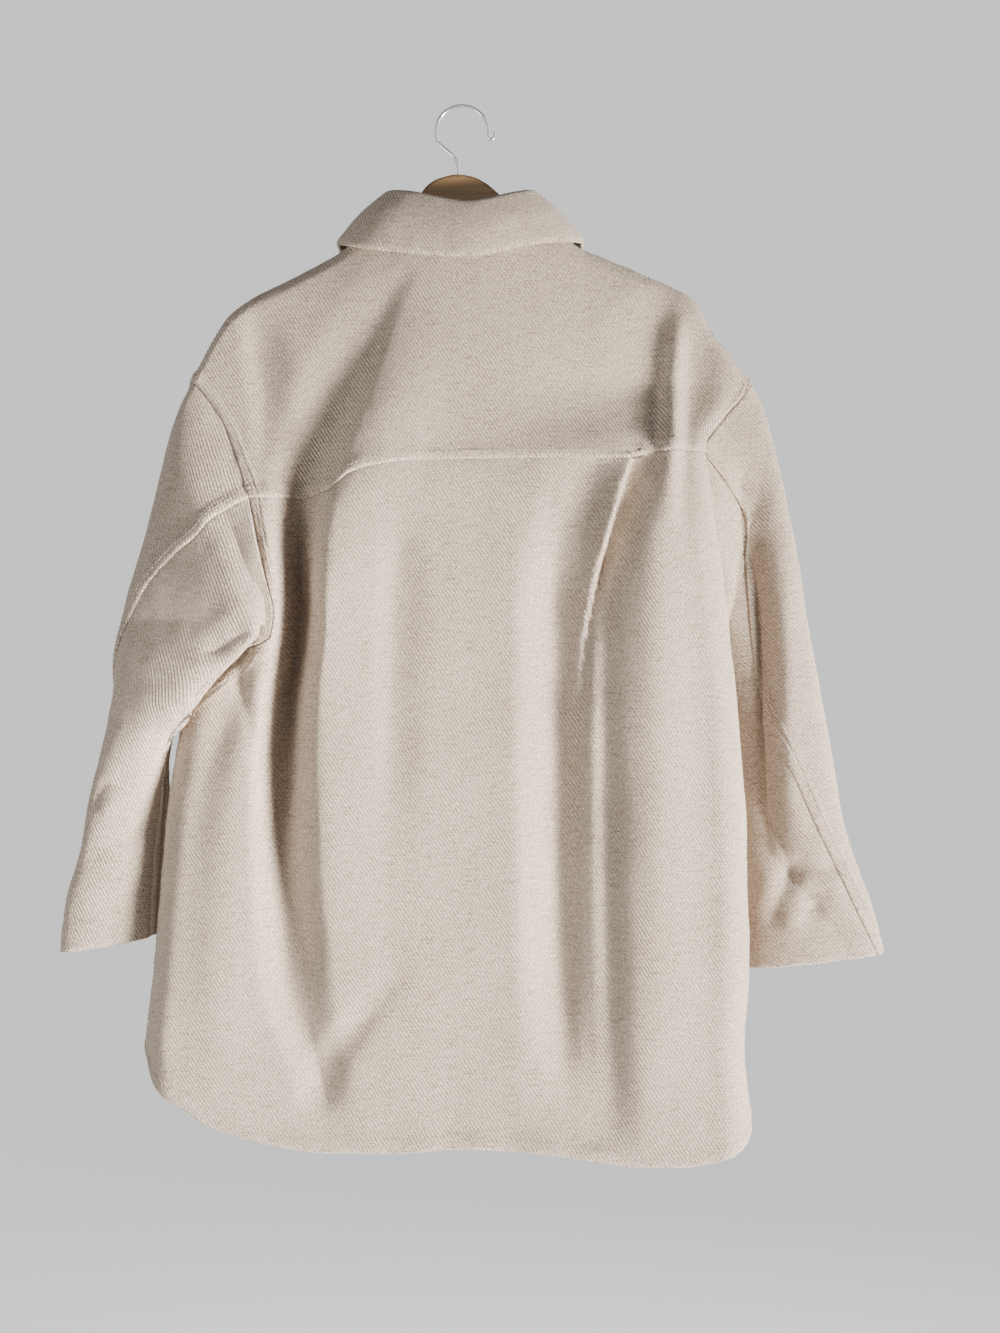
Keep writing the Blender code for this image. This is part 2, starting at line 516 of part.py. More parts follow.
def front_patch(side):
    """A front, from its armhole and side seam to its free edge past the middle."""
    sign = -1 if side == "left" else 1
    pick = LEFT_SHOULDER_PICK if side == "left" else RIGHT_SHOULDER_PICK
    shoulder_x = column_places(1)[list(pick)]
    neck_x = sign * NECK_X + (sign * (-FRONT_OVERLAP - NECK_X)) * np.linspace(0, 1, NECKLINE_COLUMNS + 1)[1:]
    neck_z = NECK_FRONT_Z + NECK_FRONT_RISE * np.clip(np.abs(neck_x) / NECK_X, 0, 1) ** 2.2
    top = np.concatenate([flat(shoulder_x, ridge(shoulder_x)), flat(neck_x, neck_z)])
    armhole = down_armhole("front", side, top[0, 1], UNDERARM_Z, FRONT_ARMHOLE_ROWS, 1.9)
    seam = down_side("front", side, SIDE_LEFT_END if side == "left" else SIDE_RIGHT_END)[list(SIDE_PICK)]
    outer = np.concatenate([armhole, seam])
    top[0] = outer[0]
    share = edge_share(top, top)
    hem_x = outer[-1, 0] + (-sign * FRONT_OVERLAP - outer[-1, 0]) * share
    bottom = flat(hem_x, FRONT_HEM.at("z", hem_x))
    bottom[0] = outer[-1]
    down = edge_share(outer, outer)
    edge_z = top[-1, 1] + (bottom[-1, 1] - top[-1, 1]) * down
    edge = flat(np.full(len(down), -sign * FRONT_OVERLAP), edge_z)
    return coons(top, bottom, outer, edge)


def front_skin(side, patch):
    skin = body(1, patch[..., 0], patch[..., 1])
    if side == "right":
        lift = OVERLAP_LIFT * (1 - smooth_step(0.020, 0.048, patch[..., 0]))
        skin[..., 1] += lift
    return skin


def sleeve_rings(side, armhole_loop, shares):
    """Points of one sleeve piece: a row for each control ring, the armhole first.

    armhole_loop holds the piece's armhole points, shares their way round each lower ring, from
    1 at the inner end over 0 at the outer end to -1 at the inner end again on the front. Each point's
    last number is how far it must stay off the body."""
    table = SLEEVES[side]
    rings = []
    for row in range(len(table.rows)):
        size = dict(zip(table.names, table.rows[row]))
        angle = shares[row] * math.pi
        outer = np.array([size["outer_x"], size["outer_y"], size["outer_z"]])
        inner = np.array([size["inner_x"], size["inner_y"], size["inner_z"]])
        way = (1 - np.cos(angle))[:, None] / 2
        out = np.sign(np.sin(angle)) * np.abs(np.sin(angle)) ** RING_SQUARENESS
        fill = np.where(out > 0, -size["back"], -size["front"]) * out
        ring = outer + (inner - outer) * way
        ring[:, 1] += fill
        inwards = 1 - np.abs(1 - np.abs(shares[row]))
        clearance = SLEEVE_CLEARANCE * (1 + smooth_step(0.75, 1.0, inwards))
        rings.append(np.concatenate([ring, clearance[:, None]], axis=1))
    first = np.concatenate([armhole_loop, rings[0][:, 3:]], axis=1)
    return np.array([first] + rings)


def seam_angle_share(seam):
    """Turn a share of the way across a ring into a share of the half turn round it."""
    side = 1 if seam >= 0 else -1
    return side * math.acos(1 - 2 * abs(seam)) / math.pi


def sleeve_patch(side, piece, back_half, front_half):
    """The skin of a sleeve piece. back_half runs from the shoulder tip to the underarm."""
    table = SLEEVES[side]
    seams = [seam_angle_share(seam) for seam in table.column("seam")]
    past = table.column("past")
    if piece == "under":
        loop = back_half[YOKE_ROWS:]
        first = np.linspace(0, 1, len(loop))
        shares = [seam + (1 + past[row] - seam) * first for row, seam in enumerate(seams)]
    else:
        loop = np.concatenate([back_half[YOKE_ROWS::-1], front_half[1:]])
        near = np.concatenate([np.linspace(1, 0, YOKE_ROWS + 1),
                               np.linspace(0, -1, FRONT_ARMHOLE_ROWS + 1)[1:]])
        even = np.linspace(0, 1, len(loop))
        shares = []
        for row, seam in enumerate(seams):
            kept = np.where(near > 0, near * max(seam, 0.0), near * (1 - past[row]))
            spread = seam + (past[row] - 1 - seam) * even
            blend = min(1.0, row / 3)
            shares.append(kept * (1 - blend) + spread * blend)
    rings = sleeve_rings(side, loop, shares)
    skin = spread_rows(rings, ring_distances(side, back_half[0], back_half[-1]), SLEEVE_ROWS)
    if side == "left":
        skin[1:, :, :3] = outside_left_side(skin[1:, :, :3], skin[1:, :, 3])
    return skin[..., :3]


def outside_left_side(points, clearance):
    """Move points out of the rounded left side of the body, which that sleeve hangs over."""
    radius = BODY.at("left_half", points[..., 2]) + clearance
    across = points[..., 0] - BODY.at("left", points[..., 2]) - BODY.at("left_round", points[..., 2])
    deep = points[..., 1] - BODY.at("left_y", points[..., 2])
    beside = np.minimum(across, 0.0)
    off = np.maximum(np.hypot(beside, deep), 0.001)
    grow = (np.maximum(radius / off, 1.0) - 1) * (1 - smooth_step(-0.41, -0.35, points[..., 2]))
    moved = points.copy()
    moved[..., 0] += beside * grow
    moved[..., 1] += deep * grow
    return moved


def ring_distances(side, tip, underarm):
    """How far down the sleeve each ring lies, the armhole first, taken as the mean over the ring."""
    ends = np.concatenate([np.concatenate([tip, underarm])[None], SLEEVES[side].rows[:, 1:7]])
    step = np.diff(ends, axis=0)
    return np.concatenate(([0.0], np.cumsum(np.linalg.norm(step, axis=1)))) / math.sqrt(2)


def spread_rows(rings, length, rows):
    """Carry a smooth curve down through the control rings and read rows of points on it."""
    wanted = length[-1] * np.linspace(0, 1, rows + 1) ** SLEEVE_EASE
    slope = np.zeros_like(rings)
    for ring in range(len(rings)):
        before = max(ring - 1, 0)
        after = min(ring + 1, len(rings) - 1)
        slope[ring] = (rings[after] - rings[before]) / (length[after] - length[before])
    row = np.clip(np.searchsorted(length, wanted) - 1, 0, len(rings) - 2)
    gap = (length[row + 1] - length[row])[:, None, None]
    t = ((wanted - length[row])[:, None, None]) / gap
    start = (1 + 2 * t) * (1 - t) ** 2 * rings[row] + t * (1 - t) ** 2 * gap * slope[row]
    end = t ** 2 * (3 - 2 * t) * rings[row + 1] - t ** 2 * (1 - t) * gap * slope[row + 1]
    return start + end


def normals(skin, away):
    across = np.gradient(skin, axis=1)
    down = np.gradient(skin, axis=0)
    normal = unit(np.cross(across, down))
    if np.sum(normal * away) < 0:
        normal = -normal
    return normal


def set_back(skin, edge, distance):
    """Shifts into the panel from one edge: the whole distance at the edge, less further in."""
    lines = skin if edge in ("top", "bottom") else skin.transpose(1, 0, 2)
    lines = lines[::-1] if edge in ("bottom", "right") else lines
    step = np.diff(lines, axis=0)
    run = np.concatenate([np.zeros((1, lines.shape[1])), np.cumsum(np.linalg.norm(step, axis=-1), axis=0)])
    share = np.clip(1 - run / (SETBACK_REACH * distance), 0.0, 1.0)
    moved = unit(np.concatenate([step, step[-1:]])) * (share * distance)[..., None]
    moved = moved[::-1] if edge in ("bottom", "right") else moved
    return moved if edge in ("top", "bottom") else moved.transpose(1, 0, 2)


def cloth_wall(name, skin, away, sewn, thickness=WALL, setback=INNER_SETBACK):
    """A closed wall under a skin of points. At a sewn edge it stands half a seam gap back, and the
    inner skin further, so that two walls meet at a mitre."""
    outer = skin.copy()
    for edge in sewn:
        outer += set_back(skin, edge, SEAM_GAP / 2)
    inner = outer - normals(skin, away) * thickness
    for edge in sewn:
        inner += set_back(skin, edge, setback)
    rows, columns = skin.shape[:2]
    mesh = bmesh.new()
    layers = []
    for layer in (outer, inner):
        layers.append([[mesh.verts.new(layer[i, j]) for j in range(columns)] for i in range(rows)])
    for i in range(rows - 1):
        for j in range(columns - 1):
            for side in layers:
                mesh.faces.new((side[i][j], side[i][j + 1], side[i + 1][j + 1], side[i + 1][j]))
    top, under = layers
    rim = [(i, 0) for i in range(rows)] + [(rows - 1, j) for j in range(1, columns)]
    rim += [(i, columns - 1) for i in range(rows - 2, -1, -1)] + [(0, j) for j in range(columns - 2, 0, -1)]
    for here, there in zip(rim, rim[1:] + rim[:1]):
        a, b = top[here[0]][here[1]], top[there[0]][there[1]]
        c, d = under[there[0]][there[1]], under[here[0]][here[1]]
        mesh.faces.new((a, b, c, d))
    bmesh.ops.recalc_face_normals(mesh, faces=mesh.faces)
    add_mesh(name, mesh, "wool_twill")


def make_material(name):
    red, green, blue, metallic, roughness = MATERIALS[name]
    material = bpy.data.materials.new(name)
    material.use_nodes = True
    shader = material.node_tree.nodes["Principled BSDF"]
    shader.inputs["Base Color"].default_value = (red, green, blue, 1.0)
    shader.inputs["Metallic"].default_value = metallic
    shader.inputs["Roughness"].default_value = roughness
    return material


def add_object(name, data, material):
    thing = bpy.data.objects.new(name, data)
    data.materials.append(bpy.data.materials.get(material) or make_material(material))
    bpy.data.collections["shacket"].objects.link(thing)
    return thing


def add_mesh(name, mesh, material):
    data = bpy.data.meshes.new(name)
    mesh.to_mesh(data)
    mesh.free()
    data.shade_smooth()
    data.set_sharp_from_angle(angle=math.radians(50))
    return add_object(name, data, material)


def make_body_panels():
    """Yoke, back and fronts. Returns the armhole points that the sleeves are sewn to, by side, and
    the skin of the yoke, which carries the neck seam."""
    yoke = yoke_patch()
    yoke_skin = body(-1, yoke[..., 0], yoke[..., 1])
    back = back_patch()
    back_skin = body(-1, back[..., 0], back[..., 1])
    outward = np.array([0.0, -1.0, 0.0])
    cloth_wall("back_yoke", yoke_skin, outward, ("top", "bottom", "left", "right"))
    cloth_wall("back", back_skin, outward, ("top", "left", "right"))
    armholes = {}
    for side, edge in (("left", 0), ("right", -1)):
        patch = front_patch(side)
        skin = front_skin(side, patch)
        cloth_wall("front_" + side, skin, -outward, ("top", "left"))
        back_half = np.concatenate([yoke_skin[:, edge], back_skin[1:ARMHOLE_ROWS + 1, edge]])
        armholes[side] = (back_half, skin[:FRONT_ARMHOLE_ROWS + 1, 0])
    return armholes, yoke_skin


def make_sleeves(armholes):
    for side, (back_half, front_half) in armholes.items():
        for piece in ("upper", "under"):
            skin = sleeve_patch(side, piece, back_half, front_half)
            middle = SLEEVES[side].rows[:, 1:7].reshape(-1, 2, 3).mean(axis=1)
            heights = middle[::-1, 2]
            axis = np.stack([np.interp(skin[..., 2], heights, middle[::-1, 0]),
                             np.interp(skin[..., 2], heights, middle[::-1, 1]), skin[..., 2]], axis=-1)
            cloth_wall("sleeve_" + side + "_" + piece, skin, skin - axis, ("top", "left", "right"),
                       setback=SLEEVE_SETBACK)


def neck_seam(yoke_skin):
    """Points of the neck seam from the left front edge round the back to the right front edge."""
    left = front_skin("left", front_patch("left"))[0, -NECKLINE_COLUMNS - 1:][::-1]
    right = front_skin("right", front_patch("right"))[0, -NECKLINE_COLUMNS - 1:]
    back = yoke_skin[0, NECK_LEFT_COLUMN:NECK_RIGHT_COLUMN + 1]
    return np.concatenate([left[:-1], back, right[1:]])


def make_collar(yoke_skin):
    seam = neck_seam(yoke_skin)
    side = NECKLINE_COLUMNS
    behind = NECK_RIGHT_COLUMN - NECK_LEFT_COLUMN
    along = np.concatenate([np.linspace(0, 0.3, side + 1)[:-1], np.linspace(0.3, 0.7, behind + 1),
                            np.linspace(0.7, 1, side + 1)[1:]])
    roll = np.stack([COLLAR.at("roll_" + axis, along) for axis in "xyz"], axis=-1)
    edge = np.stack([COLLAR.at("edge_" + axis, along) for axis in "xyz"], axis=-1)
    tangent = np.gradient(seam, axis=0)
    outward = unit(np.stack([tangent[:, 1], -tangent[:, 0], np.zeros(len(seam))], axis=-1))
    outward[0] = outward[1]
    outward[-1] = outward[-2]
    rows = np.linspace(0, 1, 4)[:, None, None]
    base = seam + np.array([0.0, 0.0, SEAM_GAP])
    stand = base + (roll - base) * rows
    cloth_wall("collar_stand", stand, outward[None], ("bottom",), STAND_WALL)
    outward = normals(stand, outward[None])[-1]
    up = np.cross(outward, unit(np.gradient(roll, axis=0)))
    up = up * np.sign(np.sum(up * (roll - base), axis=-1, keepdims=True))
    centre = (roll + outward * ROLL_OFFSET + up * ROLL_LIFT)[1:-1]
    outward, up, edge = outward[1:-1], up[1:-1], edge[1:-1]
    rows = []
    for angle in np.radians((180, 168, 140, 100, 60, 20)):
        rows.append(centre + ROLL_RADIUS * (outward * math.cos(angle) + up * math.sin(angle)))
    start = rows[-1]
    for share in (0.25, 0.5, 0.75, 1.0):
        point = start + (edge - start) * share
        point = point + outward * LEAF_BOW * math.sin(math.pi * share)
        rows.append(point)
    cloth_wall("collar_leaf", np.array(rows), outward[None], (), LEAF_WALL)


def make_buttons():
    for index in range(BUTTON_COUNT):
        height = BUTTON_TOP - BUTTON_STEP * index
        places = np.array([0.0, 0.0, 0.0])
        heights = np.array([height, height + BUTTON_RADIUS, height - BUTTON_RADIUS])
        skin = body(1, places, heights)[:, 1] + OVERLAP_LIFT
        tilt = math.atan2(skin[2] - skin[1], 2 * BUTTON_RADIUS)
        mesh = bmesh.new()
        bmesh.ops.create_cone(mesh, cap_ends=True, segments=20, radius1=BUTTON_RADIUS,
                              radius2=BUTTON_RADIUS, depth=BUTTON_THICKNESS)
        button = add_mesh("button_" + str(index + 1), mesh, "horn_button")
        button.rotation_euler = (math.pi / 2 + tilt, 0.0, 0.0)
        button.location = (0.0, max(skin) + SEAM_GAP + BUTTON_THICKNESS / 2, height)


def wood_outline():
    """The hanger's outline, along its top from left to right and back along its lower edge."""
    top = []
    for x in np.linspace(-WOOD_REACH, WOOD_REACH, 41):
        if abs(x) > WOOD_WAIST:
            slope = float(ROOF.at("z", x + 0.001) - ROOF.at("z", x - 0.001)) / 0.002
            z = float(ROOF.at("z", x)) - (WALL + WOOD_CLEARANCE) * math.hypot(1.0, slope)
        else:
            z = float(WOOD_CROWN.at("z", x))
        top.append((x, z))
    low = []
    for x in np.linspace(WOOD_REACH - 0.006, -WOOD_REACH + 0.006, 17):
        arm = float(ROOF.at("z", x)) if abs(x) > WOOD_WAIST else -0.1060 - 0.17 * abs(x)
        low.append((x, arm - 0.026 - 0.012 * (1 - abs(x) / WOOD_REACH)))
    return top + low


def make_hanger():
    curve = bpy.data.curves.new("hanger_wood", "CURVE")
    curve.dimensions = "2D"
    curve.fill_mode = "BOTH"
    curve.extrude = WOOD_THICKNESS / 2 - WOOD_BEVEL
    curve.bevel_depth = WOOD_BEVEL
    curve.bevel_resolution = 1
    curve.offset = -WOOD_BEVEL
    outline = wood_outline()
    spline = curve.splines.new("POLY")
    spline.points.add(len(outline) - 1)
    for point, (x, z) in zip(spline.points, outline):
        point.co = (x, z, 0.0, 1.0)
    spline.use_cyclic_u = True
    wood = add_object("hanger_wood", curve, "beech")
    wood.rotation_euler = (math.pi / 2, 0.0, 0.0)


def hook_line():
    """Points of the wire: straight up out of the wood, an S bend, round the hook and a curled tip."""
    centre_z = WIRE_RADIUS - HOOK_RADIUS
    foot = float(WOOD_CROWN.at("z", -0.0037)) + SEAM_GAP
    points = [(-0.0037, foot), (-0.0037, -0.0560), (-0.0045, -0.0500), (-0.0085, -0.0440),
              (-0.0150, -0.0385)]
    for angle in np.radians(np.linspace(205, -8, 17)):
        points.append((HOOK_RADIUS * math.cos(angle), centre_z + HOOK_RADIUS * math.sin(angle)))
    points += [(0.0252, -0.0290), (0.0282, -0.0290), (0.0296, -0.0262), (0.0296, -0.0225)]
    return points


def make_hook():
    curve = bpy.data.curves.new("hanger_hook", "CURVE")
    curve.dimensions = "3D"
    curve.bevel_depth = WIRE_RADIUS
    curve.bevel_resolution = 2
    curve.use_fill_caps = True
    line = hook_line()
    spline = curve.splines.new("POLY")
    spline.points.add(len(line) - 1)
    for point, (x, z) in zip(spline.points, line):
        point.co = (x, 0.0, z, 1.0)
    add_object("hanger_hook", curve, "polished_steel")


def main():
    for thing in list(bpy.data.objects):
        bpy.data.objects.remove(thing, do_unlink=True)
    bpy.context.scene.collection.children.link(bpy.data.collections.new("shacket"))
    armholes, yoke_skin = make_body_panels()
    make_sleeves(armholes)
    make_collar(yoke_skin)
    make_buttons()
    make_hanger()
    make_hook()


main()
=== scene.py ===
import math

import bpy
import numpy as np
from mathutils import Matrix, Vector


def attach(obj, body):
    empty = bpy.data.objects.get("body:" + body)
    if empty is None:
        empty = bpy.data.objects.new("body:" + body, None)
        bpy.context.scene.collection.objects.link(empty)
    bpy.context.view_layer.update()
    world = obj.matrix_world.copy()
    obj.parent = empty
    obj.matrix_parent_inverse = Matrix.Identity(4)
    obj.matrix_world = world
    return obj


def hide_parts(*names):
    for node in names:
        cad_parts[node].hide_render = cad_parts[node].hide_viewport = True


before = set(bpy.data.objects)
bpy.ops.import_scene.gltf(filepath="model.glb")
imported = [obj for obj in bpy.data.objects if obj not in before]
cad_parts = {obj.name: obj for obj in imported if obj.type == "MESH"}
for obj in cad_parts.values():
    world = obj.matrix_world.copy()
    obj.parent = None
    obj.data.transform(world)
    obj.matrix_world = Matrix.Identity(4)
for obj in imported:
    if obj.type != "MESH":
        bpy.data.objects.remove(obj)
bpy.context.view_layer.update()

# Sizes are in metres. +Z is up, +X the wearer's right and +Y from the back to the front.
cloth = dict(wall=0.0025, leafWall=0.0045, standWall=0.0030, seamGap=0.0003, mitre=0.0026, mitreReach=3.0,
             sleeveMitre=0.0045)
shape = dict(topRadius=0.014, ridgeHalf=0.0125, openingDepth=0.130, neckX=0.085, overlap=0.0175,
             overlapLift=0.0034, overlapFlat=0.020, overlapEnd=0.048, leftTurn=1.0, leftUnderarmTurn=0.3,
             rightTurn=1.75)
seamPlaces = dict(underarm=-0.498, yokeLeft=-0.362, yokeRight=-0.320, sideLeftEnd=-0.862,
                  sideRightEnd=-0.895, leftBendFoot=-0.600)
# shares of the width where the middle's form hands over to the two sides', and the swell behind the neck
handOver = dict(leftFrom=0.05, leftTo=0.45, rightFrom=0.50, rightTo=0.86)
neckSwell = dict(height=0.008, across=0.080, down=0.060, middle=-0.117)
necklines = dict(behindRise=0.020, behindPower=2.4, behindLow=-0.130, frontRise=0.080, frontPower=2.2,
                 frontLow=-0.190)
# over 1, an armhole's rows lie closer together at the shoulder
armholeEase = dict(left=1.5, right=1.3, front=1.9, yokeRows=1.6)


class SizeTable:
    # named columns of sizes, read between rows on a smooth curve that never overshoots
    def __init__(self, names, rows):
        self.names = names.split()
        self.rows = np.array(sorted(rows), dtype=float)

    def column(self, name):
        return self.rows[:, self.names.index(name)]

    def at(self, name, place):
        key = self.rows[:, 0]
        value = self.column(name)
        step = np.diff(key)
        rise = np.diff(value) / step
        slope = np.concatenate(([rise[0]], np.zeros(len(key) - 2), [rise[-1]]))
        product = rise[:-1] * rise[1:]
        total = np.where(product > 0, rise[:-1] + rise[1:], 1.0)
        slope[1:-1] = np.where(product > 0, 2 * product / total, 0.0)
        place = np.clip(np.asarray(place, dtype=float), key[0], key[-1])
        row = np.clip(np.searchsorted(key, place) - 1, 0, len(key) - 2)
        t = (place - key[row]) / step[row]
        start = (1 + 2 * t) * (1 - t) ** 2 * value[row] + t * (1 - t) ** 2 * step[row] * slope[row]
        end = t ** 2 * (3 - 2 * t) * value[row + 1] - t ** 2 * (1 - t) * step[row] * slope[row + 1]
        return start + end


# the line of the shoulders
roof = SizeTable("x z", [
    (-0.340, -0.400), (-0.250, -0.256), (-0.209, -0.188), (-0.149, -0.155), (-0.116, -0.137),
    (-0.085, -0.118), (0.000, -0.100), (0.085, -0.117), (0.110, -0.131), (0.154, -0.149),
    (0.204, -0.172), (0.212, -0.178), (0.230, -0.208), (0.247, -0.231), (0.267, -0.256),
    (0.340, -0.370),
])
# the body at each height: outermost lines, their roundness and depth, half thickness, back and front
bodySizes = SizeTable("z left left_round left_y left_half right right_round right_y right_half back front", [
    (-0.100, -0.300, 0.025, 0.000, 0.025, 0.330, 0.055, 0.000, 0.028, -0.052, 0.022),
    (-0.256, -0.276, 0.025, 0.004, 0.025, 0.280, 0.055, 0.000, 0.028, -0.054, 0.022),
    (-0.285, -0.257, 0.025, 0.002, 0.025, 0.2424, 0.040, -0.018, 0.028, -0.055, 0.022),
    (-0.316, -0.237, 0.025, -0.006, 0.025, 0.2194, 0.022, -0.036, 0.029, -0.055, 0.022),
    (-0.347, -0.224, 0.025, -0.015, 0.025, 0.2241, 0.023, -0.036, 0.030, -0.055, 0.022),
    (-0.383, -0.214, 0.025, -0.022, 0.025, 0.2290, 0.024, -0.035, 0.030, -0.054, 0.022),
    (-0.431, -0.206, 0.025, -0.029, 0.025, 0.2365, 0.026, -0.033, 0.030, -0.054, 0.022),
    (-0.465, -0.203, 0.025, -0.025, 0.026, 0.2410, 0.027, -0.031, 0.030, -0.054, 0.022),
    (-0.498, -0.203, 0.025, -0.020, 0.026, 0.2438, 0.027, -0.031, 0.030, -0.054, 0.022),
    (-0.527, -0.230, 0.025, -0.016, 0.026, 0.2470, 0.028, -0.030, 0.030, -0.053, 0.022),
    (-0.556, -0.251, 0.025, -0.013, 0.026, 0.2495, 0.028, -0.030, 0.030, -0.053, 0.022),
    (-0.600, -0.260, 0.025, -0.012, 0.027, 0.2535, 0.028, -0.029, 0.030, -0.052, 0.022),
    (-0.641, -0.266, 0.025, -0.013, 0.028, 0.2564, 0.028, -0.029, 0.030, -0.051, 0.022),
    (-0.700, -0.271, 0.025, -0.015, 0.030, 0.2582, 0.028, -0.029, 0.030, -0.050, 0.022),
    (-0.784, -0.278, 0.025, -0.015, 0.030, 0.2600, 0.028, -0.029, 0.030, -0.049, 0.022),
    (-0.859, -0.285, 0.025, -0.015, 0.030, 0.2557, 0.028, -0.029, 0.030, -0.048, 0.022),
    (-0.922, -0.284, 0.025, -0.015, 0.030, 0.2605, 0.028, -0.029, 0.030, -0.047, 0.022),
    (-0.965, -0.284, 0.025, -0.015, 0.030, 0.2605, 0.028, -0.029, 0.030, -0.047, 0.022),
])

# folds, each along its own line down the cloth: how far it sinks, and its width on each side
foldColumns = "z x depth left right"
backFolds = dict(
    deepValley=SizeTable(foldColumns, [
        (-0.150, -0.050, 0.000, 0.050, 0.020), (-0.185, -0.068, 0.004, 0.050, 0.020),
        (-0.248, -0.095, 0.010, 0.060, 0.024), (-0.289, -0.114, 0.014, 0.060, 0.028),
        (-0.320, -0.130, 0.017, 0.050, 0.032), (-0.360, -0.144, 0.023, 0.035, 0.034),
        (-0.407, -0.149, 0.031, 0.026, 0.033), (-0.473, -0.148, 0.036, 0.024, 0.030),
        (-0.545, -0.156, 0.037, 0.026, 0.031), (-0.618, -0.160, 0.034, 0.030, 0.034),
        (-0.674, -0.161, 0.027, 0.030, 0.038), (-0.762, -0.154, 0.018, 0.032, 0.040),
        (-0.820, -0.145, 0.010, 0.034, 0.036), (-0.889, -0.121, 0.004, 0.030, 0.030),
        (-0.930, -0.115, 0.000, 0.030, 0.030),
    ]),
    crestBesideValley=SizeTable(foldColumns, [
        (-0.180, -0.020, 0.000, 0.040, 0.060), (-0.290, -0.070, -0.006, 0.045, 0.070),
        (-0.400, -0.108, -0.007, 0.030, 0.060), (-0.540, -0.118, -0.007, 0.030, 0.060),
        (-0.700, -0.115, -0.005, 0.034, 0.060), (-0.850, -0.105, 0.000, 0.034, 0.060),
    ]),
    rollBesideSleeve=SizeTable(foldColumns, [
        (-0.340, -0.172, 0.000, 0.018, 0.018), (-0.440, -0.168, -0.004, 0.014, 0.018),
        (-0.520, -0.180, -0.006, 0.020, 0.024), (-0.640, -0.205, -0.006, 0.035, 0.040),
        (-0.800, -0.215, -0.005, 0.045, 0.050), (-0.920, -0.215, 0.000, 0.045, 0.050),
    ]),
    wideTrough=SizeTable(foldColumns, [
        (-0.330, 0.118, 0.003, 0.050, 0.034), (-0.400, 0.106, 0.011, 0.052, 0.040),
        (-0.455, 0.099, 0.017, 0.054, 0.050), (-0.634, 0.102, 0.018, 0.056, 0.052),
        (-0.814, 0.107, 0.016, 0.056, 0.052), (-0.900, 0.124, 0.010, 0.050, 0.045),
        (-0.945, 0.130, 0.000, 0.045, 0.045),
    ]),
    leftShoulderHollow=SizeTable(foldColumns, [
        (-0.180, -0.190, 0.000, 0.018, 0.030), (-0.225, -0.184, 0.005, 0.020, 0.034),
        (-0.300, -0.176, 0.004, 0.020, 0.034), (-0.360, -0.172, 0.000, 0.018, 0.030),
    ]),
    rightShoulderHollow=SizeTable(foldColumns, [
        (-0.165, 0.184, 0.000, 0.050, 0.020), (-0.200, 0.180, 0.007, 0.055, 0.022),
        (-0.260, 0.173, 0.006, 0.060, 0.024), (-0.312, 0.171, 0.005, 0.050, 0.026),
        (-0.350, 0.170, 0.000, 0.040, 0.026),
    ]),
    slantAboveHem=SizeTable(foldColumns, [
        (-0.770, -0.052, 0.000, 0.024, 0.024), (-0.805, -0.072, 0.0025, 0.026, 0.026),
        (-0.849, -0.104, 0.0040, 0.028, 0.026), (-0.889, -0.124, 0.0030, 0.028, 0.026),
        (-0.925, -0.130, 0.000, 0.028, 0.026),
    ]),
)
# softer forms beside the pleat and in the right shoulder
backRolls = dict(
    bandValley=SizeTable(foldColumns, [
        (-0.350, 0.0860, 0.000, 0.040, 0.022), (-0.430, 0.0830, 0.005, 0.040, 0.022),
        (-0.560, 0.0830, 0.007, 0.040, 0.024), (-0.750, 0.0840, 0.007, 0.040, 0.024),
        (-0.870, 0.0860, 0.004, 0.040, 0.024), (-0.935, 0.0860, 0.000, 0.040, 0.024),
    ]),
    bandCrest=SizeTable(foldColumns, [
        (-0.430, 0.1220, 0.000, 0.024, 0.012), (-0.500, 0.1180, -0.006, 0.026, 0.013),
        (-0.620, 0.1160, -0.008, 0.028, 0.016), (-0.780, 0.1170, -0.007, 0.028, 0.018),
        (-0.880, 0.1200, -0.003, 0.028, 0.020), (-0.935, 0.1220, 0.000, 0.028, 0.020),
    ]),
    underlayWall=SizeTable(foldColumns, [
        (-0.330, 0.1760, 0.000, 0.030, 0.040), (-0.400, 0.1740, -0.007, 0.034, 0.045),
        (-0.560, 0.1730, -0.008, 0.040, 0.050), (-0.760, 0.1740, -0.006, 0.042, 0.050),
        (-0.920, 0.1760, 0.000, 0.042, 0.050),
    ]),
    hollowBesideArmhole=SizeTable(foldColumns, [
        (-0.190, 0.2140, 0.000, 0.014, 0.030), (-0.235, 0.2120, 0.007, 0.016, 0.034),
        (-0.290, 0.2080, 0.009, 0.016, 0.034), (-0.335, 0.2040, 0.007, 0.016, 0.034),
        (-0.400, 0.2010, 0.000, 0.016, 0.034),
    ]),
    ridgeBesideHollow=SizeTable(foldColumns, [
        (-0.190, 0.1960, 0.000, 0.014, 0.012), (-0.235, 0.1930, -0.005, 0.015, 0.013),
        (-0.300, 0.1880, -0.006, 0.016, 0.014), (-0.360, 0.1840, -0.003, 0.016, 0.014),
        (-0.400, 0.1820, 0.000, 0.016, 0.014),
    ]),
    leftSoftBand=SizeTable(foldColumns, [
        (-0.380, -0.0560, 0.000, 0.020, 0.030), (-0.440, -0.0580, 0.004, 0.022, 0.034),
        (-0.560, -0.0600, 0.004, 0.024, 0.036), (-0.680, -0.0620, 0.000, 0.024, 0.036),
    ]),
    lowerLeftSlant=SizeTable(foldColumns, [
        (-0.750, -0.1700, 0.000, 0.020, 0.016), (-0.800, -0.1600, 0.0025, 0.022, 0.018),
        (-0.850, -0.1450, 0.0030, 0.022, 0.018), (-0.890, -0.1320, 0.0015, 0.022, 0.018),
        (-0.915, -0.1260, 0.000, 0.022, 0.018),
    ]),
)
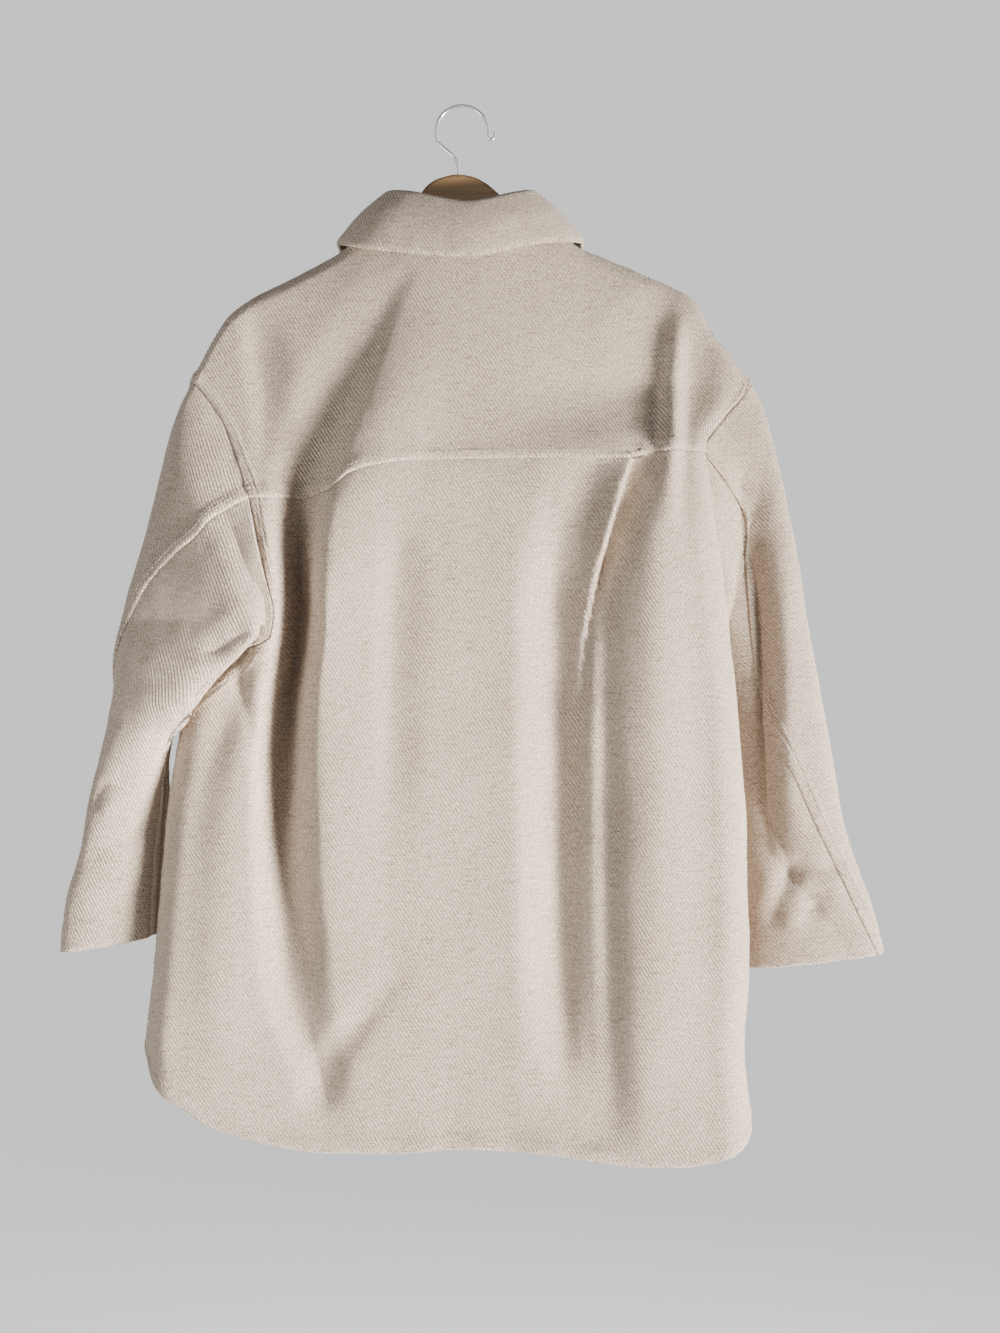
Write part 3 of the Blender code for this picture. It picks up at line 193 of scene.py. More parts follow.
frontFolds = dict(
    leftSoftFold=SizeTable(foldColumns, [
        (-0.260, -0.100, 0.000, 0.040, 0.040), (-0.420, -0.112, 0.008, 0.045, 0.040),
        (-0.700, -0.128, 0.009, 0.050, 0.045), (-0.940, -0.135, 0.003, 0.050, 0.045),
    ]),
    rightSoftFold=SizeTable(foldColumns, [
        (-0.260, 0.095, 0.000, 0.040, 0.040), (-0.450, 0.110, 0.007, 0.040, 0.045),
        (-0.720, 0.118, 0.008, 0.045, 0.050), (-0.940, 0.122, 0.003, 0.045, 0.050),
    ]),
)
# the knife pleat let into the yoke seam: its edge, how proud it stands and how deep the cloth under it is
pleat = SizeTable("z x proud under", [
    (-0.325, 0.1530, 0.0022, 0.0035), (-0.340, 0.1480, 0.0048, 0.0080), (-0.376, 0.1370, 0.0066, 0.0110),
    (-0.415, 0.1260, 0.0064, 0.0105), (-0.456, 0.1160, 0.0046, 0.0070), (-0.500, 0.1085, 0.0018, 0.0030),
    (-0.560, 0.1040, 0.0000, 0.0000),
])
pleatSizes = dict(drop=0.0020, proudWidth=0.020, underWidth=0.026)
# crisp edges in the cloth: height is proud when less than nothing, and falls off quickly on each side
edgeColumns = "z x depth left right"
backEdges = dict(
    slitInValley=SizeTable(edgeColumns, [
        (-0.385, -0.1500, 0.0000, 0.004, 0.006), (-0.410, -0.1500, 0.0080, 0.004, 0.006),
        (-0.450, -0.1475, 0.0120, 0.005, 0.006), (-0.475, -0.1495, 0.0130, 0.006, 0.006),
        (-0.511, -0.1545, 0.0120, 0.007, 0.006), (-0.545, -0.1610, 0.0080, 0.009, 0.007),
        (-0.610, -0.1670, 0.0000, 0.012, 0.008),
    ]),
    crestOfValley=SizeTable(edgeColumns, [
        (-0.345, -0.1150, 0.0000, 0.004, 0.016), (-0.370, -0.1205, -0.0040, 0.004, 0.016),
        (-0.400, -0.1277, -0.0070, 0.004, 0.018), (-0.447, -0.1321, -0.0090, 0.004, 0.018),
        (-0.511, -0.1356, -0.0090, 0.005, 0.018), (-0.547, -0.1383, -0.0085, 0.006, 0.018),
        (-0.609, -0.1436, -0.0060, 0.008, 0.018), (-0.660, -0.1490, -0.0030, 0.010, 0.018),
        (-0.740, -0.1520, 0.0000, 0.012, 0.018),
    ]),
    foldUnderSleeve=SizeTable(edgeColumns, [
        (-0.505, -0.2000, 0.0000, 0.006, 0.006), (-0.525, -0.1985, 0.0060, 0.006, 0.008),
        (-0.550, -0.1930, 0.0055, 0.007, 0.010), (-0.590, -0.1830, 0.0020, 0.010, 0.012),
        (-0.630, -0.1760, 0.0000, 0.012, 0.012),
    ]),
    lipBesideArmhole=SizeTable(edgeColumns, [
        (-0.420, -0.1620, 0.0000, 0.004, 0.008), (-0.445, -0.1585, -0.0030, 0.004, 0.008),
        (-0.480, -0.1570, -0.0045, 0.005, 0.007), (-0.520, -0.1640, -0.0030, 0.006, 0.008),
        (-0.560, -0.1720, 0.0000, 0.008, 0.008),
    ]),
    valleyFoot=SizeTable(edgeColumns, [
        (-0.800, -0.1420, 0.0000, 0.014, 0.010), (-0.850, -0.1340, 0.0030, 0.014, 0.010),
        (-0.885, -0.1250, 0.0034, 0.012, 0.012), (-0.915, -0.1180, 0.0000, 0.010, 0.012),
    ]),
)

# armhole seams in flat coordinates, from the shoulder tip to the underarm
armholes = dict(
    backLeft=SizeTable("z x", [
        (-0.249, -0.250), (-0.279, -0.2253), (-0.304, -0.2112), (-0.341, -0.1980), (-0.362, -0.1908),
        (-0.383, -0.1860), (-0.409, -0.1800), (-0.431, -0.1745), (-0.465, -0.1670), (-0.488, -0.1705),
        (-0.498, -0.1900),
    ]),
    backRight=SizeTable("z x", [
        (-0.249, 0.2609), (-0.285, 0.2451), (-0.316, 0.2375), (-0.347, 0.2490), (-0.378, 0.2595),
        (-0.430, 0.2740), (-0.480, 0.2800), (-0.498, 0.2951),
    ]),
    frontLeft=SizeTable("z x", [
        (-0.249, -0.250), (-0.285, -0.2350), (-0.320, -0.2240), (-0.370, -0.2130), (-0.430, -0.2050),
        (-0.468, -0.2110), (-0.488, -0.2230), (-0.498, -0.2461),
    ]),
    frontRight=SizeTable("z x", [
        (-0.249, 0.2609), (-0.285, 0.2220), (-0.320, 0.2050), (-0.370, 0.1960), (-0.430, 0.1980),
        (-0.470, 0.2030), (-0.490, 0.2120), (-0.498, 0.2280),
    ]),
)
yokeSeam = SizeTable("x z", [
    (-0.191, -0.3620), (-0.153, -0.3612), (-0.1175, -0.3540), (-0.100, -0.3405), (-0.0775, -0.3335),
    (-0.038, -0.3288), (0.089, -0.3273), (0.150, -0.3275), (0.171, -0.3225), (0.191, -0.3200),
    (0.245, -0.3200),
])
backHem = SizeTable("x z", [
    (-0.302, -0.862), (-0.285, -0.884), (-0.270, -0.897), (-0.248, -0.910), (-0.227, -0.925),
    (-0.196, -0.935), (-0.156, -0.944), (-0.126, -0.948), (-0.056, -0.948), (0.000, -0.9442),
    (0.078, -0.948), (0.117, -0.953), (0.155, -0.957), (0.190, -0.9575), (0.213, -0.9554),
    (0.238, -0.950), (0.258, -0.941), (0.272, -0.930), (0.290, -0.914), (0.3145, -0.895),
])
frontHem = SizeTable("x z", [
    (-0.302, -0.862), (-0.285, -0.880), (-0.255, -0.902), (-0.200, -0.928), (-0.120, -0.942),
    (-0.0175, -0.945), (0.0175, -0.945), (0.100, -0.944), (0.180, -0.934), (0.225, -0.915),
    (0.248, -0.895),
])
# where the cloth's columns run at the shoulders and neck, at the yoke seam and at the hem
columnLines = SizeTable("index top yoke hem", [
    (0, -0.2500, -0.1908, -0.3020), (4, -0.1950, -0.1720, -0.2500), (8, -0.1400, -0.1560, -0.2050),
    (16, -0.0850, -0.1050, -0.1250), (25, 0.0850, 0.0900, 0.0700), (33, 0.1500, 0.1650, 0.1700),
    (37, 0.2120, 0.2000, 0.2350), (42, 0.2609, 0.2385, 0.3145),
])
neckColumns = dict(left=16, right=25, last=42)

ringColumns = "g outer_x outer_y outer_z inner_x inner_y inner_z back front seam past"
sleeveSizes = dict(
    left=SizeTable(ringColumns, [
        (1, -0.2640, -0.003, -0.292, -0.1765, -0.061, -0.477, 0.017, 0.007, 0.48, 0.10),
        (2, -0.2755, -0.008, -0.337, -0.1785, -0.065, -0.487, 0.018, 0.008, 0.40, 0.06),
        (3, -0.2885, -0.012, -0.391, -0.1840, -0.065, -0.493, 0.018, 0.009, 0.26, 0.03),
        (4, -0.3035, -0.016, -0.446, -0.1955, -0.061, -0.505, 0.018, 0.012, 0.12, 0.00),
        (5, -0.3140, -0.020, -0.503, -0.2110, -0.056, -0.519, 0.019, 0.014, 0.02, 0.00),
        (6, -0.3185, -0.020, -0.549, -0.2380, -0.046, -0.551, 0.020, 0.015, -0.02, 0.00),
        (7, -0.3280, -0.017, -0.593, -0.2640, -0.016, -0.589, 0.023, 0.018, -0.03, 0.00),
        (8, -0.3390, -0.014, -0.634, -0.2700, 0.000, -0.632, 0.025, 0.020, -0.03, 0.00),
        (9, -0.3470, -0.012, -0.682, -0.2745, 0.003, -0.681, 0.024, 0.019, -0.03, 0.00),
        (10, -0.3610, -0.010, -0.727, -0.2785, 0.004, -0.722, 0.022, 0.018, -0.03, 0.00),
        (11, -0.3665, -0.008, -0.774, -0.2815, 0.004, -0.761, 0.020, 0.016, -0.03, 0.00),
    ]),
    right=SizeTable(ringColumns, [
        (1, 0.2760, 0.000, -0.274, 0.2330, 0.012, -0.504, 0.013, 0.018, 0.42, 0.00),
        (2, 0.2866, 0.000, -0.313, 0.2350, 0.014, -0.510, 0.011, 0.015, 0.52, 0.00),
        (3, 0.2972, 0.000, -0.354, 0.2375, 0.013, -0.518, 0.013, 0.015, 0.60, 0.00),
        (4, 0.3080, 0.000, -0.410, 0.2400, 0.014, -0.532, 0.018, 0.016, 0.66, 0.00),
        (5, 0.3175, 0.000, -0.470, 0.2430, 0.014, -0.550, 0.022, 0.016, 0.68, 0.00),
        (6, 0.3268, 0.000, -0.526, 0.2460, 0.014, -0.575, 0.026, 0.016, 0.64, 0.00),
        (7, 0.3385, 0.000, -0.586, 0.2490, 0.014, -0.615, 0.028, 0.016, 0.48, 0.00),
        (8, 0.3490, 0.000, -0.650, 0.2515, 0.013, -0.665, 0.028, 0.016, 0.30, 0.00),
        (9, 0.3650, 0.000, -0.702, 0.2540, 0.012, -0.712, 0.026, 0.016, 0.19, 0.00),
        (10, 0.3785, -0.002, -0.744, 0.2570, 0.010, -0.758, 0.022, 0.015, 0.12, 0.00),
        (11, 0.3855, -0.002, -0.776, 0.2625, 0.008, -0.791, 0.020, 0.014, 0.05, 0.00),
    ]),
)
# lean is the grain's angle; the left sleeve is held off the body's side up to bodyClear, and let go by
# bodyFree
sleeveShape = dict(squareness=0.7, clearance=0.0045, slackFrom=0.45, slackTo=0.95, clearFrom=0.75,
                   yokeSteps=8, frontSteps=11, blendRows=3, bodyClear=-0.41, bodyFree=-0.35,
                   lean=dict(left=9, right=-11))
# how far the cloth falls back between the back seam and the body, ring by ring
slackRings = dict(left=((1, 5, 7, 11), (0.0, 0.0, 0.4, 0.2)),
                  right=((1, 3, 5, 8, 11), (0.0, 0.9, 1.5, 1.1, 0.2)))

# creases of the sleeves: two ends on the cloth as seen from the back, depth, width
sleeveCreases = dict(
    left=[
        # x, z, to x, to z, depth, width
        (-0.321, -0.621, -0.333, -0.640, 0.0030, 0.006),
        (-0.222, -0.500, -0.190, -0.486, 0.0050, 0.009),
        (-0.236, -0.540, -0.206, -0.520, 0.0040, 0.008),
        (-0.285, -0.470, -0.215, -0.478, 0.0030, 0.016),
        (-0.330, -0.560, -0.262, -0.575, 0.0030, 0.014),
        (-0.335, -0.690, -0.285, -0.655, 0.0022, 0.012),
    ],
    right=[
        (0.300, -0.698, 0.278, -0.655, 0.0050, 0.013),
        (0.303, -0.692, 0.337, -0.699, 0.0030, 0.0055),
        (0.300, -0.704, 0.283, -0.742, 0.0034, 0.0075),
        (0.300, -0.704, 0.322, -0.735, 0.0048, 0.011),
        (0.322, -0.735, 0.350, -0.768, 0.0026, 0.010),
        (0.264, -0.672, 0.299, -0.702, 0.0028, 0.007),
        (0.268, -0.450, 0.276, -0.640, 0.0125, 0.011),
        (0.256, -0.340, 0.263, -0.420, 0.0050, 0.012),
    ],
)

creaseShape = dict(sway=0.0015, swayTurns=4, bank=0.30, bankAway=2.2, frontShare=0.15)

collarSizes = SizeTable("s roll_x roll_y roll_z edge_x edge_y edge_z", [
    (0.00, 0.0150, 0.0165, -0.156, -0.0300, 0.031, -0.228),
    (0.05, -0.0015, 0.0168, -0.154, -0.0450, 0.031, -0.222),
    (0.10, -0.0240, 0.016, -0.146, -0.0700, 0.030, -0.200),
    (0.20, -0.0560, 0.011, -0.116, -0.0990, 0.026, -0.158),
    (0.25, -0.0650, 0.006, -0.101, -0.1110, 0.021, -0.136),
    (0.30, -0.0690, -0.001, -0.091, -0.1155, 0.001, -0.124),
    (0.35, -0.0620, -0.010, -0.088, -0.1000, -0.020, -0.130),
    (0.40, -0.0480, -0.018, -0.090, -0.0700, -0.033, -0.137),
    (0.50, 0.0060, -0.026, -0.101, 0.0050, -0.041, -0.144),
    (0.60, 0.0500, -0.018, -0.091, 0.0660, -0.033, -0.131),
    (0.65, 0.0630, -0.010, -0.088, 0.0970, -0.020, -0.126),
    (0.70, 0.0690, -0.001, -0.091, 0.1125, 0.001, -0.123),
    (0.75, 0.0650, 0.006, -0.101, 0.1090, 0.021, -0.136),
    (0.80, 0.0560, 0.011, -0.116, 0.0990, 0.026, -0.158),
    (0.90, 0.0240, 0.018, -0.146, 0.0700, 0.033, -0.200),
    (0.95, 0.0015, 0.0207, -0.154, 0.0450, 0.035, -0.222),
    (1.00, -0.0150, 0.0210, -0.156, 0.0300, 0.035, -0.228),
])
# neckBehind is the share of the collar's line that runs behind the neck
collarShape = dict(rollRadius=0.0068, rollOffset=0.0028, rollLift=0.0012, bow=0.004, neckBehind=(0.3, 0.7),
                   behindLength=0.4, columns=161, leafTrim=8, rollTurns=(180, 20, 14), standDepth=0.045,
                   leafDepth=0.050)


def smoothStep(low, high, value):
    t = np.clip((value - low) / (high - low), 0.0, 1.0)
    return t * t * (3 - 2 * t)


def unit(vectors):
    return vectors / np.maximum(np.linalg.norm(vectors, axis=-1, keepdims=True), 1e-9)


def softWaves(u, v, size, seed):
    # an uneven surface between -1 and 1, made of waves of about one size in many directions
    dice = np.random.default_rng(seed)
    total = np.zeros(np.broadcast(u, v).shape)
    for _ in range(9):
        angle, phase = dice.uniform(0, 2 * math.pi, 2)
        length = size * dice.uniform(0.7, 1.5)
        total = total + np.sin(2 * math.pi * (u * math.cos(angle) + v * math.sin(angle)) / length + phase)
    return total / 4.5


def foldDepth(folds, x, z):
    total = np.zeros(np.broadcast(x, z).shape)
    for fold in folds.values():
        off = x - fold.at("x", z)
        reach = np.where(off < 0, fold.at("left", z), fold.at("right", z))
        share = np.clip(np.abs(off) / reach, 0.0, 1.0)
        inside = (z <= fold.rows[-1, 0]) & (z >= fold.rows[0, 0])
        total = total + np.where(inside, fold.at("depth", z) * (1 + np.cos(math.pi * share)) / 2, 0.0)
    return total


def pleatDepth(x, z):
    off = x - pleat.at("x", z)
    proud = pleat.at("proud", z) * np.exp(-(np.minimum(off, 0) / pleatSizes["proudWidth"]) ** 2)
    under = pleat.at("under", z) * np.exp(-(np.maximum(off, 0) / pleatSizes["underWidth"]) ** 2)
    past = smoothStep(0, pleatSizes["drop"], off)
    inside = (z <= pleat.rows[-1, 0]) & (z >= pleat.rows[0, 0])
    return np.where(inside, -proud * (1 - past) + under * past, 0.0)


def edgeDepth(edges, x, z):
    total = np.zeros(np.broadcast(x, z).shape)
    for edge in edges.values():
        off = x - edge.at("x", z)
        reach = np.where(off < 0, edge.at("left", z), edge.at("right", z))
        fall = np.exp(-np.abs(off) / reach)
        inside = (z <= edge.rows[-1, 0]) & (z >= edge.rows[0, 0])
        total = total + np.where(inside, edge.at("depth", z) * fall, 0.0)
    return total


def sideRound(x, z):
    # the real place across, and how far the cloth has turned round a side, in radians
    leftRound = bodySizes.at("left_round", z)
    leftStart = bodySizes.at("left", z) + leftRound
    leftTurned = (leftStart - x) / ((leftRound + bodySizes.at("left_half", z)) / 2)
    rightRound = bodySizes.at("right_round", z)
    rightStart = bodySizes.at("right", z) - rightRound
    rightTurned = (x - rightStart) / ((rightRound + bodySizes.at("right_half", z)) / 2)
    real = np.where(leftTurned > 0, leftStart - leftRound * np.sin(leftTurned), x)
    real = np.where(rightTurned > 0, rightStart + rightRound * np.sin(rightTurned), real)
    return real, np.maximum(0.0, np.maximum(leftTurned, rightTurned))


def turnedPlace(side, z, quarterTurns):
    radius = bodySizes.at(side + "_round", z)
    arc = (radius + bodySizes.at(side + "_half", z)) / 2 * quarterTurns * math.pi / 2
    if side == "left":
        return bodySizes.at("left", z) + radius - arc
    return bodySizes.at("right", z) - radius + arc


def topRound(x, z):
    radius = shape["topRadius"]
    start = roof.at("z", x) - radius
    over = np.clip((z - start) / radius, 0.0, math.pi / 2)
    return np.where(z > start, start + radius * np.sin(over), z), over


def shoulderSeam(x):
    height = roof.at("z", x)
    for _ in range(4):
        real = sideRound(x, height)[0]
        height = roof.at("z", real)
    return height + shape["topRadius"] * (math.pi / 2 - 1)


def bodyPoint(face, x, z):
    # the outer skin of the back (face -1) or front (face 1) at a flat place
    realZ = z
    for _ in range(3):
        realX, side = sideRound(x, realZ)
        realZ, over = topRound(realX, z)
    below = np.maximum(0.0, roof.at("z", realX) - realZ)
    opened = 1 - np.exp(-below / shape["openingDepth"])
    left = bodySizes.at("left", realZ)
    share = (realX - left) / (bodySizes.at("right", realZ) - left)
    nearLeft = 1 - smoothStep(handOver["leftFrom"], handOver["leftTo"], share)
    nearRight = smoothStep(handOver["rightFrom"], handOver["rightTo"], share)
    middle = 1 - nearLeft - nearRight
    back = bodySizes.at("back", realZ)
    front = bodySizes.at("front", realZ)
    centre = (nearLeft * bodySizes.at("left_y", realZ) + nearRight * bodySizes.at("right_y", realZ)
              + middle * (back + front) / 2) * opened
    target = (nearLeft * bodySizes.at("left_half", realZ) + nearRight * bodySizes.at("right_half", realZ)
              + middle * (front - back) / 2)
    half = shape["ridgeHalf"] + (target - shape["ridgeHalf"]) * opened
    neck = neckSwell["height"] * np.exp(-(realX / neckSwell["across"]) ** 2
                                        - ((realZ - neckSwell["middle"]) / neckSwell["down"]) ** 2)
    shown = np.cos(side)
    towards = np.where(shown >= 0, face, -face)
    swell = np.where(towards < 0, neck, 0.0)
    backFold = foldDepth(backFolds, realX, realZ) + foldDepth(backRolls, realX, realZ)
    backFold = backFold + edgeDepth(backEdges, realX, realZ)
    backFold = backFold + pleatDepth(realX, realZ)
    fold = np.where(towards < 0, backFold, foldDepth(frontFolds, realX, realZ))
    reach = (half + swell - fold * np.abs(shown)) * np.abs(shown) * np.cos(over)
    return np.stack([realX, centre + towards * reach, realZ], axis=-1)


def neckBehind(x):
    share = np.abs(x) / shape["neckX"]
    return necklines["behindRise"] * share ** necklines["behindPower"] + necklines["behindLow"]


def neckInFront(x):
    share = np.clip(np.abs(x) / shape["neckX"], 0, 1)
    return necklines["frontLow"] + necklines["frontRise"] * share ** necklines["frontPower"]


def edgeShare(first, second):
    shares = []
    for edge in (first, second):
        length = np.linalg.norm(np.diff(edge, axis=0), axis=1)
        shares.append(np.concatenate(([0.0], np.cumsum(length))) / length.sum())
    return (shares[0] + shares[1]) / 2


def fillPatch(top, bottom, left, right):
    u = edgeShare(top, bottom)[None, :, None]
    v = edgeShare(left, right)[:, None, None]
    ruledDown = (1 - v) * top[None] + v * bottom[None]
    ruledAcross = (1 - u) * left[:, None] + u * right[:, None]
    corners = ((1 - u) * (1 - v) * top[0] + u * (1 - v) * top[-1]
               + (1 - u) * v * bottom[0] + u * v * bottom[-1])
    return ruledDown + ruledAcross - corners


def flatLine(x, z):
    return np.stack([x, z], axis=-1)


def downArmhole(name, fromZ, toZ, rows, ease=1.0):
    fine = np.linspace(fromZ, toZ, 400)
    line = flatLine(armholes[name].at("x", fine), fine)
    z = np.interp(np.asarray(rows) ** ease, edgeShare(line, line), fine)
    return flatLine(armholes[name].at("x", z), z)


def downSide(face, side, rows):
    end = seamPlaces["sideLeftEnd"] if side == "left" else seamPlaces["sideRightEnd"]
    z = seamPlaces["underarm"] + (end - seamPlaces["underarm"]) * rows
    if side == "left":
        bend = smoothStep(seamPlaces["leftBendFoot"], seamPlaces["underarm"], z)
        turn = shape["leftTurn"] + (shape["leftUnderarmTurn"] - shape["leftTurn"]) * bend
    else:
        turn = shape["rightTurn"]
    return flatLine(turnedPlace(side, z, turn if face == "back" else 2 - turn), z)


def yokePatch(columns, rows):
    x = columnLines.at("top", columns)
    seamX = columnLines.at("yoke", columns)
    inNeck = (columns > neckColumns["left"]) & (columns < neckColumns["right"])
    top = flatLine(x, np.where(inNeck, neckBehind(x), shoulderSeam(x)))
    bottom = flatLine(seamX, yokeSeam.at("z", seamX))
    left = downArmhole("backLeft", shoulderSeam(x[:1])[0], seamPlaces["yokeLeft"], rows, armholeEase["left"])
    right = downArmhole("backRight", shoulderSeam(x[-1:])[0], seamPlaces["yokeRight"], rows,
                        armholeEase["right"])
    top[0], top[-1] = left[0], right[0]
    bottom[0], bottom[-1] = left[-1], right[-1]
    patch = fillPatch(top, bottom, left, right)
    eased = patch.copy()
    for column in range(1, patch.shape[1] - 1):
        line = patch[:, column]
        share = edgeShare(line, line)
        for axis in (0, 1):
            eased[:, column, axis] = np.interp(rows ** armholeEase["yokeRows"], share, line[:, axis])
    return eased


def backPatch(columns, armholeRows, sideRows):
    seamX = columnLines.at("yoke", columns)
    hemX = columnLines.at("hem", columns)
    top = flatLine(seamX, yokeSeam.at("z", seamX))
    bottom = flatLine(hemX, backHem.at("z", hemX))
    outlines = []
    for cap in ("Left", "Right"):
        hole = downArmhole("back" + cap, seamPlaces["yoke" + cap], seamPlaces["underarm"], armholeRows)
        outlines.append(np.concatenate([hole, downSide("back", cap.lower(), sideRows)[1:]]))
    left, right = outlines
    top[0], top[-1] = left[0], right[0]
    bottom[0], bottom[-1] = left[-1], right[-1]
    return fillPatch(top, bottom, left, right)


def frontPatch(side, shoulder, neckline, armholeRows, sideRows):
    # from the armhole and side seam to the free edge past the middle
    sign = -1 if side == "left" else 1
    overlap, neckEnd = shape["overlap"], shape["neckX"]
    fromColumn = 0 if side == "left" else neckColumns["last"]
    shoulderX = columnLines.at("top", fromColumn + (neckColumns[side] - fromColumn) * shoulder)
    neckX = sign * neckEnd + (sign * (-overlap - neckEnd)) * neckline[1:]
    top = np.concatenate([flatLine(shoulderX, shoulderSeam(shoulderX)), flatLine(neckX, neckInFront(neckX))])
    name = "frontLeft" if side == "left" else "frontRight"
    armhole = downArmhole(name, top[0, 1], seamPlaces["underarm"], armholeRows, armholeEase["front"])
    outer = np.concatenate([armhole, downSide("front", side, sideRows)[1:]])
    top[0] = outer[0]
    share = edgeShare(top, top)
    hemX = outer[-1, 0] + (-sign * overlap - outer[-1, 0]) * share
    bottom = flatLine(hemX, frontHem.at("z", hemX))
    bottom[0] = outer[-1]
    down = edgeShare(outer, outer)
    edgeZ = top[-1, 1] + (bottom[-1, 1] - top[-1, 1]) * down
    edge = flatLine(np.full(len(down), -sign * overlap), edgeZ)
    return fillPatch(top, bottom, outer, edge)


def frontSkin(side, patch):
    skin = bodyPoint(1, patch[..., 0], patch[..., 1])
    if side == "right":
        under = smoothStep(shape["overlapFlat"], shape["overlapEnd"], patch[..., 0])
        skin[..., 1] += shape["overlapLift"] * (1 - under)
    return skin


def surfaceNormals(skin, away):
    normal = unit(np.cross(np.gradient(skin, axis=1), np.gradient(skin, axis=0)))
    return -normal if np.sum(normal * away) < 0 else normal


def linesFrom(grid, edge):
    # the grid turned so that its first row is the named edge
    lines = grid if edge in ("top", "bottom") else np.swapaxes(grid, 0, 1)
    return lines[::-1] if edge in ("bottom", "right") else lines


def linesBack(lines, edge):
    lines = lines[::-1] if edge in ("bottom", "right") else lines
    return lines if edge in ("top", "bottom") else np.swapaxes(lines, 0, 1)


def runFrom(skin, edge):
    # how far every point lies from an edge, along its own line
    lines = linesFrom(skin, edge)
    step = np.linalg.norm(np.diff(lines, axis=0), axis=-1)
    return linesBack(np.concatenate([np.zeros((1, lines.shape[1])), np.cumsum(step, axis=0)]), edge)


def setBack(skin, edge, distance):
    lines = linesFrom(skin, edge)
    step = np.diff(lines, axis=0)
    run = np.concatenate([np.zeros((1, lines.shape[1])), np.cumsum(np.linalg.norm(step, axis=-1), axis=0)])
    share = np.clip(1 - run / (cloth["mitreReach"] * distance), 0.0, 1.0)
    return linesBack(unit(np.concatenate([step, step[-1:]])) * (share * distance)[..., None], edge)


# what a seam or edge is like where its own sizes don't say
seamSizes = dict(allowance=0.010, raised=0.0, fade=0.003, stitched=(), plainStitches=(), groove=0.0006,
                 grooveWidth=0.0011, roll=0.0012, rollReach=0.0022, pucker=0.0003, puckerSize=0.020,
                 puckerReach=0.014, puckerDown=0.4, lap=0.0)
unevenSizes = dict(broad=0.0007, broadLength=0.120, fine=0.00022, fineLength=0.034, calmBesideSeam=0.02,
                   inside=0.0005, rimBulge=0.45)


def seamRelief(skin, uv, edge, seam, seed):
    # raised seam allowance, the groove of its stitching, the rolled edge and its puckers
    size = dict(seamSizes, **seam)
    run = runFrom(skin, edge)
    along = uv[..., 0] if edge in ("top", "bottom") else uv[..., 1]
    relief = size["raised"] * (1 - smoothStep(size["allowance"], size["allowance"] + size["fade"], run))
    for stitched in size["stitched"]:
        relief = relief - size["groove"] * np.exp(-((run - stitched) / size["grooveWidth"]) ** 2)
    relief = relief - size["roll"] * np.clip(1 - run / size["rollReach"], 0, 1) ** 2
    pucker = softWaves(along, run * size["puckerDown"], size["puckerSize"], seed)
    fall = np.exp(-run / size["puckerReach"])
    return relief + size["pucker"] * pucker * fall * smoothStep(0, size["fade"], run)


